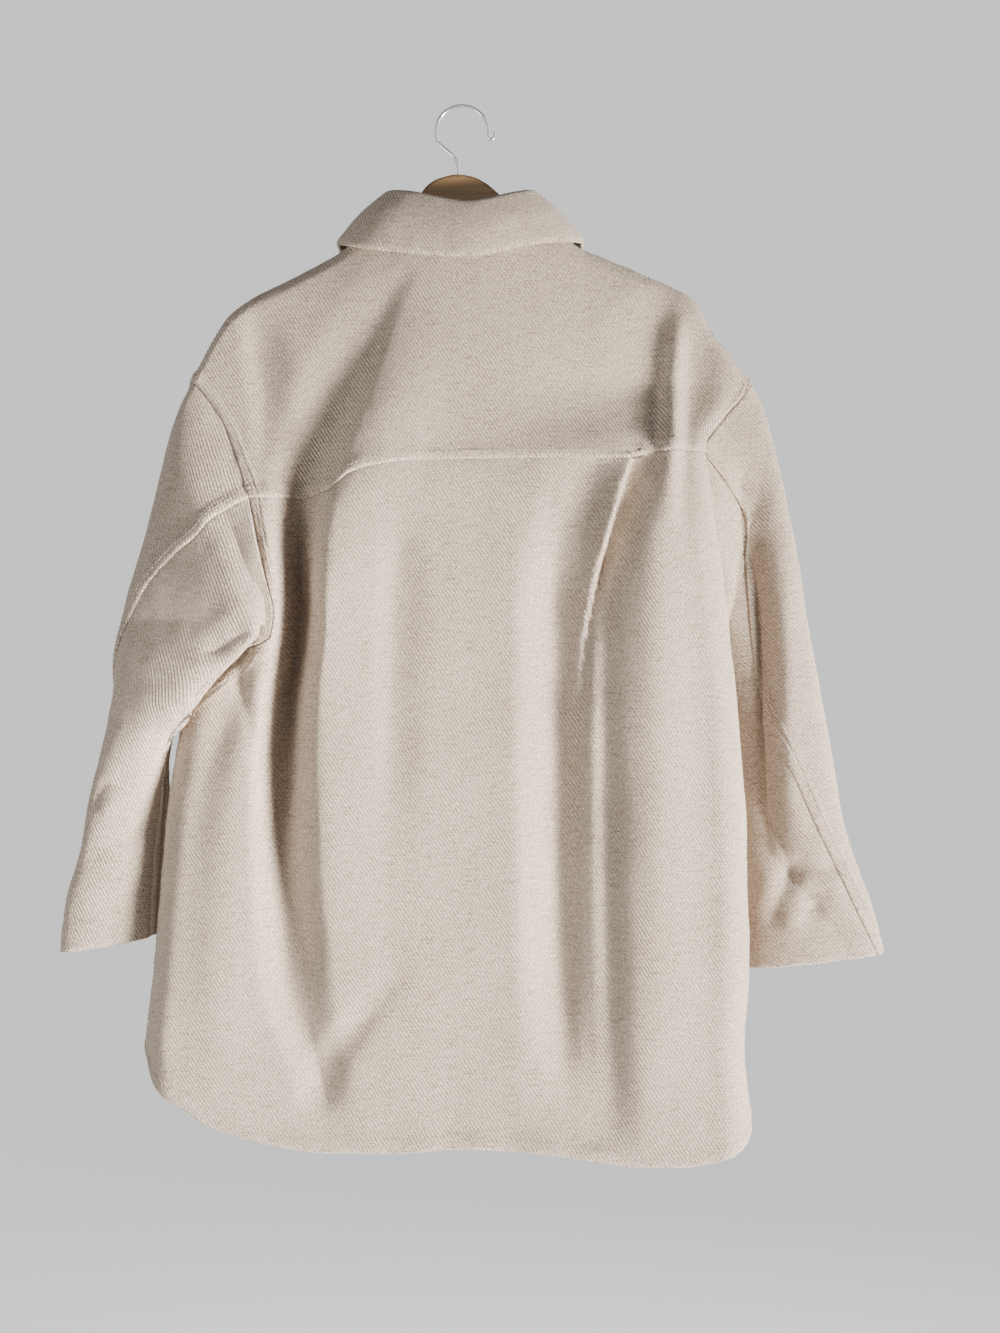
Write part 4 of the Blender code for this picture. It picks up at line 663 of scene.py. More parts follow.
def clothPanel(name, skin, uv, away, sewn, seams, thickness, mitre=None, extra=None, seed=1, unevenness=1.0):
    # a closed shell: the skin with its relief, an inner skin, and a rim that is rounded where it is free
    normal = surfaceNormals(skin, away)
    size = unevenSizes
    relief = (size["broad"] * softWaves(uv[..., 0], uv[..., 1], size["broadLength"], seed)
              + size["fine"] * softWaves(uv[..., 0], uv[..., 1], size["fineLength"], seed + 1)) * unevenness
    near = np.full(skin.shape[:2], 1.0)
    for edge in sewn:
        near = near * smoothStep(0.0, size["calmBesideSeam"], runFrom(skin, edge))
    relief = relief * near
    for number, (edge, seam) in enumerate(seams.items()):
        relief = relief + seamRelief(skin, uv, edge, seam, seed + 10 + number)
    if extra is not None:
        relief = relief + extra
    outer = skin + normal * relief[..., None]
    for edge in sewn:
        lap = seams.get(edge, seamSizes).get("lap", 0.0)
        outer = outer + (setBack(skin, edge, cloth["seamGap"] / 2) if lap == 0 else -setBack(skin, edge, lap))
    inner = skin - normal * (thickness - np.minimum(relief, size["inside"]))[..., None]
    for edge in sewn:
        inner = inner + setBack(skin, edge, (mitre or cloth["mitre"]) + cloth["seamGap"] / 2)
    rows, columns = skin.shape[:2]
    index = np.arange(rows * columns).reshape(rows, columns)
    quads = np.stack([index[:-1, :-1], index[:-1, 1:], index[1:, 1:], index[1:, :-1]], axis=-1).reshape(-1, 4)
    count = rows * columns
    points = [outer.reshape(-1, 3), inner.reshape(-1, 3)]
    uvs = [uv.reshape(-1, 2), uv.reshape(-1, 2)]
    loop = np.concatenate([index[0, :-1], index[:-1, -1], index[-1, :0:-1], index[:0:-1, 0]])
    outwards = np.zeros((rows, columns, 3))
    for edge in ("top", "bottom", "left", "right"):
        if edge not in sewn:
            lines = linesFrom(skin, edge)
            push = np.zeros_like(lines)
            push[0] = unit(lines[0] - lines[1])
            outwards = outwards + linesBack(push, edge)
    outwards = outwards.reshape(-1, 3)[loop]
    outwards = unit(outwards) * (np.linalg.norm(outwards, axis=-1, keepdims=True) > 0.5)
    rings = [loop]
    flatOuter, flatInner = outer.reshape(-1, 3)[loop], inner.reshape(-1, 3)[loop]
    start = 2 * count
    for share in (0.2, 0.5, 0.8):
        bulge = thickness * size["rimBulge"] * math.sin(math.pi * share)
        points.append(flatOuter + (flatInner - flatOuter) * share + outwards * bulge)
        uvs.append(uv.reshape(-1, 2)[loop])
        rings.append(start + np.arange(len(loop)))
        start += len(loop)
    rings.append(loop + count)
    faces = [quads, quads[:, ::-1] + count]
    for here, there in zip(rings, rings[1:]):
        faces.append(np.stack([here, there, np.roll(there, -1), np.roll(here, -1)], axis=-1))
    faces = np.concatenate(faces)
    outwardFirst = np.cross(skin[0, 1] - skin[0, 0], skin[1, 0] - skin[0, 0])
    if np.sum(outwardFirst * normal[0, 0]) > 0:
        faces = faces[:, ::-1]
    piece = meshPiece(name, np.concatenate(points), faces, np.concatenate(uvs))
    return piece, outer, normal


def meshPiece(name, points, faces, uvs=None):
    mesh = bpy.data.meshes.new(name)
    faces = np.asarray(faces)
    mesh.vertices.add(len(points))
    mesh.vertices.foreach_set("co", np.asarray(points, dtype=np.float32).ravel())
    mesh.loops.add(faces.size)
    mesh.loops.foreach_set("vertex_index", faces.ravel().astype(np.int32))
    mesh.polygons.add(len(faces))
    mesh.polygons.foreach_set("loop_start", np.arange(len(faces), dtype=np.int32) * faces.shape[1])
    mesh.update(calc_edges=True)
    if uvs is not None:
        layer = mesh.uv_layers.new(name="clothUV")
        layer.data.foreach_set("uv", np.asarray(uvs, dtype=np.float32)[faces.ravel()].ravel())
    mesh.shade_smooth()
    piece = bpy.data.objects.new(name, mesh)
    bpy.context.scene.collection.objects.link(piece)
    return piece


def wear(piece, material, node):
    piece.data.materials.clear()
    piece.data.materials.append(material)
    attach(piece, "root")
    if node:
        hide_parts(node)
    return piece


def flatSize(skin, cap=0.0):
    # width, length and area of the cloth as it was cut; a cap at the top is left out of the width
    below = skin[int(cap * len(skin)):]
    across = np.linalg.norm(np.diff(below, axis=1), axis=-1).sum(axis=1).max()
    down = np.linalg.norm(np.diff(skin, axis=0), axis=-1).sum(axis=0).max()
    first = np.cross(skin[:-1, 1:] - skin[:-1, :-1], skin[1:, :-1] - skin[:-1, :-1])
    second = np.cross(skin[1:, :-1] - skin[1:, 1:], skin[:-1, 1:] - skin[1:, 1:])
    area = (np.linalg.norm(first, axis=-1).sum() + np.linalg.norm(second, axis=-1).sum()) / 2
    return (float(round(across, 3)), float(round(down, 3))), float(round(area, 4))


# one stitch of sewing thread; its rings are a share of its length, of its radius, and their rise
threadSizes = dict(radius=0.00042, pitch=0.0043, length=0.0034, lift=0.00025, sides=6,
                   rings=((-0.5, 0.25, -0.8), (-0.38, 0.85, 0.0), (0.0, 1.0, 0.35), (0.38, 0.85, 0.0),
                          (0.5, 0.25, -0.8)))


def tubeFaces(rings, sides):
    faces = []
    for ring in range(rings - 1):
        for turn in range(sides):
            a, b = ring * sides + turn, ring * sides + (turn + 1) % sides
            faces.append((a, a + sides, b + sides, b))
    return faces


def stitchRow(line, normal):
    # small capsules along a line on the cloth; gives points and faces
    sizes = threadSizes
    step = np.linalg.norm(np.diff(line, axis=0), axis=1)
    run = np.concatenate(([0.0], np.cumsum(step)))
    middles = np.arange(sizes["pitch"], run[-1] - sizes["pitch"] / 2, sizes["pitch"])
    if len(middles) == 0:
        return np.zeros((0, 3)), np.zeros((0, 4), dtype=int)

    def at(place):
        return np.stack([np.interp(place, run, line[:, k]) for k in range(3)], axis=-1)

    centre = at(middles)
    along = unit(at(middles + sizes["length"] / 2) - at(middles - sizes["length"] / 2))
    up = unit(np.stack([np.interp(middles, run, normal[:, k]) for k in range(3)], axis=-1))
    side = unit(np.cross(along, up))
    up = np.cross(side, along)
    centre = centre + up * sizes["lift"]
    rings, sides = sizes["rings"], sizes["sides"]
    points = []
    for share, thick, high in rings:
        for turn in range(sides):
            angle = turn * math.pi / 3
            outwards = side * math.cos(angle) + up * (math.sin(angle) + high)
            points.append(centre + along * share * sizes["length"] + outwards * thick * sizes["radius"])
    points = np.stack(points, axis=1)
    faces = tubeFaces(len(rings), sides)
    for base in (0, (len(rings) - 1) * sides):
        faces.append((base, base + 1, base + 2, base + 3))
        faces.append((base, base + 3, base + 4, base + 5))
    faces = np.array(faces)
    offsets = np.arange(len(centre))[:, None, None] * len(rings) * sides
    return points.reshape(-1, 3), (faces[None] + offsets).reshape(-1, 4)


def joinParts(parts):
    points, faces, start = [], [], 0
    for somePoints, someFaces in parts:
        points.append(somePoints)
        faces.append(someFaces + start)
        start += len(somePoints)
    return np.concatenate(points), np.concatenate(faces)


def lineInside(outer, normal, edge, distance, trim=0.0):
    # the line on a panel at a distance from one of its edges
    lines, ups = linesFrom(outer, edge), linesFrom(normal, edge)
    run = linesFrom(runFrom(outer, edge), edge)
    found, foundUp = [], []
    for column in range(lines.shape[1]):
        found.append([np.interp(distance, run[:, column], lines[:, column, k]) for k in range(3)])
        foundUp.append([np.interp(distance, run[:, column], ups[:, column, k]) for k in range(3)])
    found, foundUp = np.array(found), np.array(foundUp)
    if trim:
        step = np.concatenate(([0.0], np.cumsum(np.linalg.norm(np.diff(found, axis=0), axis=1))))
        kept = (step > trim) & (step < step[-1] - trim)
        found, foundUp = found[kept], foundUp[kept]
    return found, foundUp


def crowded(length, step, atStart=True, atEnd=True, near=0.016, fine=0.0013):
    # shares of a line of this length, with close ones beside its sewn ends
    low = near if atStart else 0.0
    high = length - (near if atEnd else 0.0)
    marks = [np.linspace(low, high, max(2, int(round((high - low) / step)) + 1))]
    if atStart:
        marks.append(np.arange(0.0, near - fine / 2, fine))
    if atEnd:
        marks.append(length - np.arange(0.0, near - fine / 2, fine))
    return np.unique(np.round(np.concatenate(marks) / length, 6))


# columns of cloth beside the folds, where there are twice as many
closeColumns = ((5, 18), (26, 34))


def bodyColumns(step):
    fine = np.linspace(0, neckColumns["last"], 600)
    width = np.zeros(len(fine))
    for line in ("top", "yoke", "hem"):
        width += np.concatenate(([0.0], np.cumsum(np.diff(columnLines.at(line, fine))))) / 3
    index = np.interp(crowded(width[-1], step) * width[-1], width, fine)
    middles = (index[1:] + index[:-1]) / 2
    beside = [middles[(middles > low) & (middles < high)] for low, high in closeColumns]
    return np.sort(np.concatenate([index] + beside))


# pitch is from rib to rib, floatLength along a rib, floatStep how far the next rib's floats are moved on;
# sway and all that follows it are how often the noise changes in a metre
twill = dict(pitch=0.0029, angle=57.0, floatLength=0.0041, floatStep=0.38, bend=0.0030,
             lightWool=(0.66, 0.545, 0.435), darkWool=(0.29, 0.210, 0.150), fleck=(0.84, 0.76, 0.65),
             sway=28.0, heatherOver=900.0, heatherAlong=260.0, slubs=(55.0, 950.0, 1.0), fibres=2600.0,
             flecks=(420.0, 640.0, 1.0), tone=7.0)


def startGroup(name, inputs, outputs):
    group = bpy.data.node_groups.new(name, "ShaderNodeTree")
    for label, kind, value in inputs:
        socket = group.interface.new_socket(name=label, in_out="INPUT", socket_type=kind)
        if value is not None:
            socket.default_value = value
    for label, kind in outputs:
        group.interface.new_socket(name=label, in_out="OUTPUT", socket_type=kind)
    return group, group.nodes.new("NodeGroupInput"), group.nodes.new("NodeGroupOutput")


def feed(tree, socket, value):
    if isinstance(value, bpy.types.NodeSocket):
        tree.links.new(value, socket)
    else:
        socket.default_value = value


def maths(tree, operation, first, second=None):
    node = tree.nodes.new("ShaderNodeMath")
    node.operation = operation
    for socket, value in zip(node.inputs, (first, second)):
        if value is not None:
            feed(tree, socket, value)
    return node.outputs[0]


def vectors(tree, operation, first, second):
    node = tree.nodes.new("ShaderNodeVectorMath")
    node.operation = operation
    feed(tree, node.inputs[0], first)
    feed(tree, node.inputs[1], second)
    return node.outputs[0]


def noise(tree, place, scale, detail=2.0, roughness=0.5):
    node = tree.nodes.new("ShaderNodeTexNoise")
    feed(tree, node.inputs["Vector"], place)
    node.inputs["Scale"].default_value = scale
    node.inputs["Detail"].default_value = detail
    node.inputs["Roughness"].default_value = roughness
    return node.outputs["Fac"]


def between(tree, value, low, high, toLow=0.0, toHigh=1.0):
    node = tree.nodes.new("ShaderNodeMapRange")
    feed(tree, node.inputs["Value"], value)
    for label, number in (("From Min", low), ("From Max", high), ("To Min", toLow), ("To Max", toHigh)):
        node.inputs[label].default_value = number
    return node.outputs[0]


def mixColors(tree, share, first, second):
    node = tree.nodes.new("ShaderNodeMix")
    node.data_type = "RGBA"
    feed(tree, node.inputs["Factor"], share)
    feed(tree, node.inputs[6], first)
    feed(tree, node.inputs[7], second)
    return node.outputs[2]


def turnWave(tree, turns):
    # a wave from 0 to 1, once for every whole number
    return between(tree, maths(tree, "COSINE", maths(tree, "MULTIPLY", turns, 2 * math.pi)), -1.0, 1.0)


def twillWeaveGroup():
    # slanted ribs of woolly yarn, heathered, with slubs along the weft and a raised nap, and painted shade
    # darkening the grooves between the ribs
    group, given, result = startGroup("twillWeave", [
        ("Place", "NodeSocketVector", None), ("Line Pitch", "NodeSocketFloat", twill["pitch"]),
        ("Light Wool", "NodeSocketColor", (*twill["lightWool"], 1)),
        ("Dark Wool", "NodeSocketColor", (*twill["darkWool"], 1)),
        ("Fleck", "NodeSocketColor", (*twill["fleck"], 1)),
    ], [("Color", "NodeSocketColor"), ("Height", "NodeSocketFloat"), ("Rough", "NodeSocketFloat")])
    place = given.outputs["Place"]
    sway = noise(group, place, twill["sway"])
    split = group.nodes.new("ShaderNodeSeparateXYZ")
    group.links.new(place, split.inputs[0])
    across, down = split.outputs[0], split.outputs[1]
    angle = math.radians(twill["angle"])
    bend = maths(group, "MULTIPLY", maths(group, "SUBTRACT", sway, 0.5), twill["bend"])
    over = maths(group, "ADD", maths(group, "MULTIPLY", across, math.sin(angle)),
                 maths(group, "ADD", maths(group, "MULTIPLY", down, math.cos(angle)), bend))
    along = maths(group, "SUBTRACT", maths(group, "MULTIPLY", across, math.cos(angle)),
                  maths(group, "MULTIPLY", down, math.sin(angle)))
    ribNumber = maths(group, "DIVIDE", over, given.outputs["Line Pitch"])
    rib = turnWave(group, ribNumber)
    stepped = maths(group, "MULTIPLY", maths(group, "ROUND", ribNumber), twill["floatStep"])
    floatNumber = maths(group, "DIVIDE", along, twill["floatLength"])
    floats = turnWave(group, maths(group, "ADD", floatNumber, stepped))
    turned = group.nodes.new("ShaderNodeCombineXYZ")
    feed(group, turned.inputs[0], maths(group, "MULTIPLY", over, twill["heatherOver"]))
    feed(group, turned.inputs[1], maths(group, "MULTIPLY", along, twill["heatherAlong"]))
    heather = noise(group, turned.outputs[0], 1.0, 3.0, 0.65)
    slubs = noise(group, vectors(group, "MULTIPLY", place, twill["slubs"]), 1.0, 2.0, 0.55)
    fibres = noise(group, place, twill["fibres"], 2.0, 0.7)
    flecks = noise(group, vectors(group, "MULTIPLY", place, twill["flecks"]), 1.0, 1.0, 0.5)
    tone = noise(group, place, twill["tone"], 2.0, 0.5)
    body = maths(group, "MULTIPLY", maths(group, "POWER", rib, 0.75),
                 between(group, floats, 0.0, 1.0, 0.72, 1.0))
    darkShareWithGrooveShade = maths(group, "ADD", between(group, heather, 0.38, 0.66, 0.0, 0.78),
                 between(group, slubs, 0.52, 0.72, 0.0, 0.62))
    # painted shade: where the weave's height is low, in the grooves between ribs, the colour is mixed darker
    # as if shaded
    darkShareWithGrooveShade = maths(group, "ADD", darkShareWithGrooveShade, between(group, body, 0.0, 0.75, 0.30, 0.0))
    darkShareWithGrooveShade = maths(group, "ADD", darkShareWithGrooveShade, between(group, tone, 0.3, 0.7, -0.06, 0.06))
    clipped = group.nodes.new("ShaderNodeClamp")
    feed(group, clipped.inputs["Value"], darkShareWithGrooveShade)
    color = mixColors(group, clipped.outputs[0], given.outputs["Light Wool"], given.outputs["Dark Wool"])
    color = mixColors(group, between(group, flecks, 0.58, 0.72, 0.0, 0.70), color, given.outputs["Fleck"])
    height = maths(group, "ADD", body, maths(group, "MULTIPLY", fibres, 0.55))
    height = maths(group, "ADD", height, maths(group, "MULTIPLY", heather, 0.45))
    group.links.new(color, result.inputs["Color"])
    group.links.new(height, result.inputs["Height"])
    group.links.new(between(group, fibres, 0.2, 0.8, 0.86, 1.0), result.inputs["Rough"])
    return group


def freshMaterial(name):
    material = bpy.data.materials.new(name)
    material.use_nodes = True
    tree = material.node_tree
    return material, tree, tree.nodes["Principled BSDF"]


def woolMaterial(group):
    material, tree, shader = freshMaterial("oatmealWoolTwill")
    uv = tree.nodes.new("ShaderNodeUVMap")
    uv.uv_map = "clothUV"
    weave = tree.nodes.new("ShaderNodeGroup")
    weave.node_tree = group
    tree.links.new(uv.outputs[0], weave.inputs["Place"])
    tree.links.new(weave.outputs["Color"], shader.inputs["Base Color"])
    tree.links.new(weave.outputs["Rough"], shader.inputs["Roughness"])
    bump = tree.nodes.new("ShaderNodeBump")
    bump.inputs["Distance"].default_value = 0.0007
    bump.inputs["Strength"].default_value = 0.85
    tree.links.new(weave.outputs["Height"], bump.inputs["Height"])
    tree.links.new(bump.outputs[0], shader.inputs["Normal"])
    shader.inputs["Specular IOR Level"].default_value = 0.15
    shader.inputs["Sheen Weight"].default_value = 0.25
    shader.inputs["Sheen Roughness"].default_value = 0.55
    shader.inputs["Sheen Tint"].default_value = (0.95, 0.92, 0.86, 1)
    return material


def grainGroup():
    # long wavy grain of planed beech with short dark flecks
    group, given, result = startGroup("beechGrain", [
        ("Place", "NodeSocketVector", None), ("Early Wood", "NodeSocketColor", (0.44, 0.26, 0.105, 1)),
        ("Late Wood", "NodeSocketColor", (0.30, 0.155, 0.055, 1)),
    ], [("Color", "NodeSocketColor"), ("Height", "NodeSocketFloat"), ("Rough", "NodeSocketFloat")])
    place = given.outputs["Place"]
    sway = noise(group, vectors(group, "MULTIPLY", place, (5.0, 20.0, 20.0)), 1.0, 2.0)
    long = vectors(group, "MULTIPLY", place, (9.0, 160.0, 210.0))
    shifted = vectors(group, "ADD", long, maths(group, "MULTIPLY", sway, 3.0))
    rings = noise(group, shifted, 1.0, 3.0, 0.6)
    flecks = noise(group, vectors(group, "MULTIPLY", place, (330.0, 1500.0, 1500.0)), 1.0, 1.0)
    color = mixColors(group, between(group, rings, 0.35, 0.65), given.outputs["Early Wood"],
                      given.outputs["Late Wood"])
    color = mixColors(group, between(group, flecks, 0.62, 0.74, 0.0, 0.5), color, (0.20, 0.10, 0.04, 1))
    group.links.new(color, result.inputs["Color"])
    height = maths(group, "ADD", rings, maths(group, "MULTIPLY", flecks, 0.5))
    group.links.new(height, result.inputs["Height"])
    group.links.new(between(group, rings, 0.3, 0.7, 0.34, 0.46), result.inputs["Rough"])
    return group


def brushedGroup():
    # fine scratches along drawn wire, with duller handled patches
    group, given, result = startGroup("drawnWire", [("Place", "NodeSocketVector", None)],
                                      [("Rough", "NodeSocketFloat"), ("Height", "NodeSocketFloat")])
    place = given.outputs["Place"]
    scratches = noise(group, vectors(group, "MULTIPLY", place, (2400.0, 2400.0, 300.0)), 1.0, 2.0)
    patches = noise(group, place, 90.0, 2.0)
    rough = maths(group, "ADD", between(group, patches, 0.35, 0.7, 0.14, 0.30),
                  between(group, scratches, 0.4, 0.7, 0.0, 0.06))
    group.links.new(rough, result.inputs["Rough"])
    group.links.new(scratches, result.inputs["Height"])
    return group


def hornGroup():
    # streaky brown horn
    group, given, result = startGroup("hornStreaks", [
        ("Place", "NodeSocketVector", None), ("Light Horn", "NodeSocketColor", (0.34, 0.22, 0.125, 1)),
        ("Dark Horn", "NodeSocketColor", (0.075, 0.042, 0.024, 1)),
    ], [("Color", "NodeSocketColor"), ("Height", "NodeSocketFloat")])
    stretched = vectors(group, "MULTIPLY", given.outputs["Place"], (420.0, 60.0, 110.0))
    streaks = noise(group, stretched, 1.0, 4.0, 0.6)
    color = mixColors(group, between(group, streaks, 0.35, 0.66), given.outputs["Light Horn"],
                      given.outputs["Dark Horn"])
    group.links.new(color, result.inputs["Color"])
    group.links.new(streaks, result.inputs["Height"])
    return group


def solidMaterial(name, group, metallic=0.0, roughness=0.4, color=None, bumpDistance=0.0001, coat=0.0):
    material, tree, shader = freshMaterial(name)
    place = tree.nodes.new("ShaderNodeTexCoord")
    finish = tree.nodes.new("ShaderNodeGroup")
    finish.node_tree = group
    tree.links.new(place.outputs["Object"], finish.inputs["Place"])
    shader.inputs["Metallic"].default_value = metallic
    shader.inputs["Roughness"].default_value = roughness
    if color:
        shader.inputs["Base Color"].default_value = (*color, 1)
    for label, target in (("Color", "Base Color"), ("Rough", "Roughness")):
        if label in finish.outputs:
            tree.links.new(finish.outputs[label], shader.inputs[target])
    bump = tree.nodes.new("ShaderNodeBump")
    bump.inputs["Distance"].default_value = bumpDistance
    bump.inputs["Strength"].default_value = 0.4
    tree.links.new(finish.outputs["Height"], bump.inputs["Height"])
    tree.links.new(bump.outputs[0], shader.inputs["Normal"])
    shader.inputs["Coat Weight"].default_value = coat
    shader.inputs["Coat Roughness"].default_value = 0.25
    return material


def threadGroup():
    # two-ply thread: fine slanted twist lines
    group, given, result = startGroup("plyThread", [("Place", "NodeSocketVector", None)],
                                      [("Color", "NodeSocketColor"), ("Height", "NodeSocketFloat")])
    stretched = vectors(group, "MULTIPLY", given.outputs["Place"], (2200.0, 2200.0, 700.0))
    twist = noise(group, stretched, 1.0, 1.0)
    color = mixColors(group, between(group, twist, 0.35, 0.65), (0.62, 0.55, 0.46, 1), (0.48, 0.42, 0.34, 1))
    group.links.new(color, result.inputs["Color"])
    group.links.new(twist, result.inputs["Height"])
    return group


woolCloth = woolMaterial(twillWeaveGroup())
beech = solidMaterial("beechWood", grainGroup(), roughness=0.4, bumpDistance=0.0002, coat=0.15)
steel = solidMaterial("polishedSteel", brushedGroup(), metallic=1.0, color=(0.60, 0.60, 0.61),
                      bumpDistance=0.00003)
horn = solidMaterial("hornButtons", hornGroup(), roughness=0.28, bumpDistance=0.00005, coat=0.3)
sewingThread = solidMaterial("sewingThread", threadGroup(), roughness=0.75, bumpDistance=0.0001)
print("materials ready")


outwards = np.array([0.0, -1.0, 0.0])
sheets = {}
stitchParts = {}


def addStitches(name, outer, normal, edge, distance, trim=0.004):
    line, up = lineInside(outer, normal, edge, distance, trim)
    stitchParts.setdefault(name, []).append(stitchRow(line, up))


def sewPanel(name, skin, uv, away, sewn, seams, thickness, cap=0.0, **settings):
    piece, outer, normal = clothPanel(name + "Cloth", skin, uv, away, sewn, seams, thickness, **settings)
    wear(piece, woolCloth, name)
    for edge, seam in seams.items():
        for distance in seam.get("stitched", ()) + seam.get("plainStitches", ()):
            addStitches(name, outer, normal, edge, distance)
    sheets[name] = (piece, *flatSize(skin, cap))


feltedSeam = dict(raised=0.0014, allowance=0.0098, stitched=(0.0078,), roll=0.0014, pucker=0.00045,
                  lap=0.0008, groove=0.0009)
plainSeam = dict(roll=0.0004, pucker=0.00045, puckerReach=0.012)
shirtTailHem = dict(raised=0.0009, allowance=0.0110, stitched=(0.0095,), roll=0.0004, pucker=0.0011,
                    puckerSize=0.046, puckerReach=0.030)

# the body: yoke, back and the two fronts
columns = bodyColumns(step=0.0031)
yoke = yokePatch(columns, crowded(length=0.2, step=0.0030, near=0.022))
yokeSkin = bodyPoint(-1, yoke[..., 0], yoke[..., 1])
sewPanel("back_yoke", yokeSkin, yoke, outwards, ("top", "bottom", "left", "right"),
         dict(top=dict(feltedSeam, raised=0.0006), bottom=feltedSeam, left=feltedSeam, right=feltedSeam),
         cloth["wall"], seed=21)
back = backPatch(columns, crowded(length=0.145, step=0.0030, atEnd=False),
                 crowded(length=0.385, step=0.0032, atStart=False))
backSkin = bodyPoint(-1, back[..., 0], back[..., 1])
sewPanel("back", backSkin, back, outwards, ("top", "left", "right"),
         dict(top=plainSeam, left=feltedSeam, right=feltedSeam, bottom=shirtTailHem), cloth["wall"], seed=5)

frontLines = dict(shoulder=crowded(length=0.18, step=0.0036, atEnd=False),
                  neckline=crowded(length=0.155, step=0.0036, atStart=False),
                  armholeRows=crowded(length=0.30, step=0.0036, atEnd=False),
                  sideRows=crowded(length=0.385, step=0.0036, atStart=False))
frontEdge = dict(roll=0.0003, stitched=(0.0050,), plainStitches=(0.030,), pucker=0.0003, raised=0.0006,
                 allowance=0.030)
for side in ("left", "right"):
    patch = frontPatch(side, **frontLines)
    skin = frontSkin(side, patch)
    seams = dict(top=plainSeam, left=feltedSeam, right=frontEdge, bottom=shirtTailHem)
    sewPanel("front_" + side, skin, patch * np.array([-1.0, 1.0]), -outwards, ("top", "left"), seams,
             cloth["wall"], seed=31 if side == "left" else 47)
print("body panels ready")


# the sleeves: rings of cloth from the armhole to the cuff
def seamHalfTurn(seam):
    sign = 1 if seam >= 0 else -1
    return sign * math.acos(1 - 2 * abs(seam)) / math.pi


def sleeveRings(side, loop, shares):
    form = sleeveShape
    table = sleeveSizes[side]
    rings = []
    for row, share in zip(table.rows, shares):
        size = dict(zip(table.names, row))
        angle = share * math.pi
        outer = np.array([size["outer_x"], size["outer_y"], size["outer_z"]])
        inner = np.array([size["inner_x"], size["inner_y"], size["inner_z"]])
        way = (1 - np.cos(angle))[:, None] / 2
        slack = smoothStep(form["slackFrom"], form["slackTo"], share)
        slack = slack * np.interp(size["g"], *slackRings[side])
        out = np.sign(np.sin(angle)) * np.abs(np.sin(angle)) ** (form["squareness"] + slack)
        ring = outer + (inner - outer) * way
        ring[:, 1] += np.where(out > 0, -size["back"], -size["front"]) * out
        inwards = 1 - np.abs(1 - np.abs(share))
        clearance = form["clearance"] * (1 + smoothStep(form["clearFrom"], 1.0, inwards))
        rings.append(np.concatenate([ring, clearance[:, None]], axis=1))
    return np.array([np.concatenate([loop, rings[0][:, 3:]], axis=1)] + rings)


def armholePoints(side, around):
    # points round an armhole: 1 at the yoke seam, 0 at the tip, -1 at the front underarm, 2 at the back one
    tip = shoulderSeam(np.array([columnLines.at("top", 0 if side == "left" else neckColumns["last"])]))[0]
    cap = "Left" if side == "left" else "Right"
    yokeEnd = seamPlaces["yoke" + cap]
    points = np.zeros((len(around), 3))
    parts = (
        ("back", (around >= 0) & (around <= 1), tip, yokeEnd, armholeEase[side], 0),
        ("back", around > 1, yokeEnd, seamPlaces["underarm"], 1.0, 1),
        ("front", around < 0, tip, seamPlaces["underarm"], armholeEase["front"], 0),
    )
    for face, chosen, fromZ, toZ, ease, base in parts:
        share = np.abs(around[chosen]) - base
        line = downArmhole(face + cap, fromZ, toZ, share, ease)
        if face == "back":
            points[chosen] = bodyPoint(-1, line[:, 0], line[:, 1])
        else:
            points[chosen] = frontSkin(side, line)
    return points


def spreadRows(rings, length, wanted):
    wanted = length[-1] * wanted
    slope = np.zeros_like(rings)
    for ring in range(len(rings)):
        before, after = max(ring - 1, 0), min(ring + 1, len(rings) - 1)
        slope[ring] = (rings[after] - rings[before]) / (length[after] - length[before])
    row = np.clip(np.searchsorted(length, wanted) - 1, 0, len(rings) - 2)
    gap = (length[row + 1] - length[row])[:, None, None]
    t = (wanted - length[row])[:, None, None] / gap
    start = (1 + 2 * t) * (1 - t) ** 2 * rings[row] + t * (1 - t) ** 2 * gap * slope[row]
    end = t ** 2 * (3 - 2 * t) * rings[row + 1] - t ** 2 * (1 - t) * gap * slope[row + 1]
    return start + end


def outsideLeftSide(points, clearance):
    # the left sleeve hangs over the rounded left side of the body
    height = points[..., 2]
    radius = bodySizes.at("left_half", height) + clearance
    across = points[..., 0] - bodySizes.at("left", height) - bodySizes.at("left_round", height)
    deep = points[..., 1] - bodySizes.at("left_y", height)
    beside = np.minimum(across, 0.0)
    off = np.maximum(np.hypot(beside, deep), 0.001)
    free = smoothStep(sleeveShape["bodyClear"], sleeveShape["bodyFree"], height)
    grow = (np.maximum(radius / off, 1.0) - 1) * (1 - free)
    moved = points.copy()
    moved[..., 0] += beside * grow
    moved[..., 1] += deep * grow
    return moved


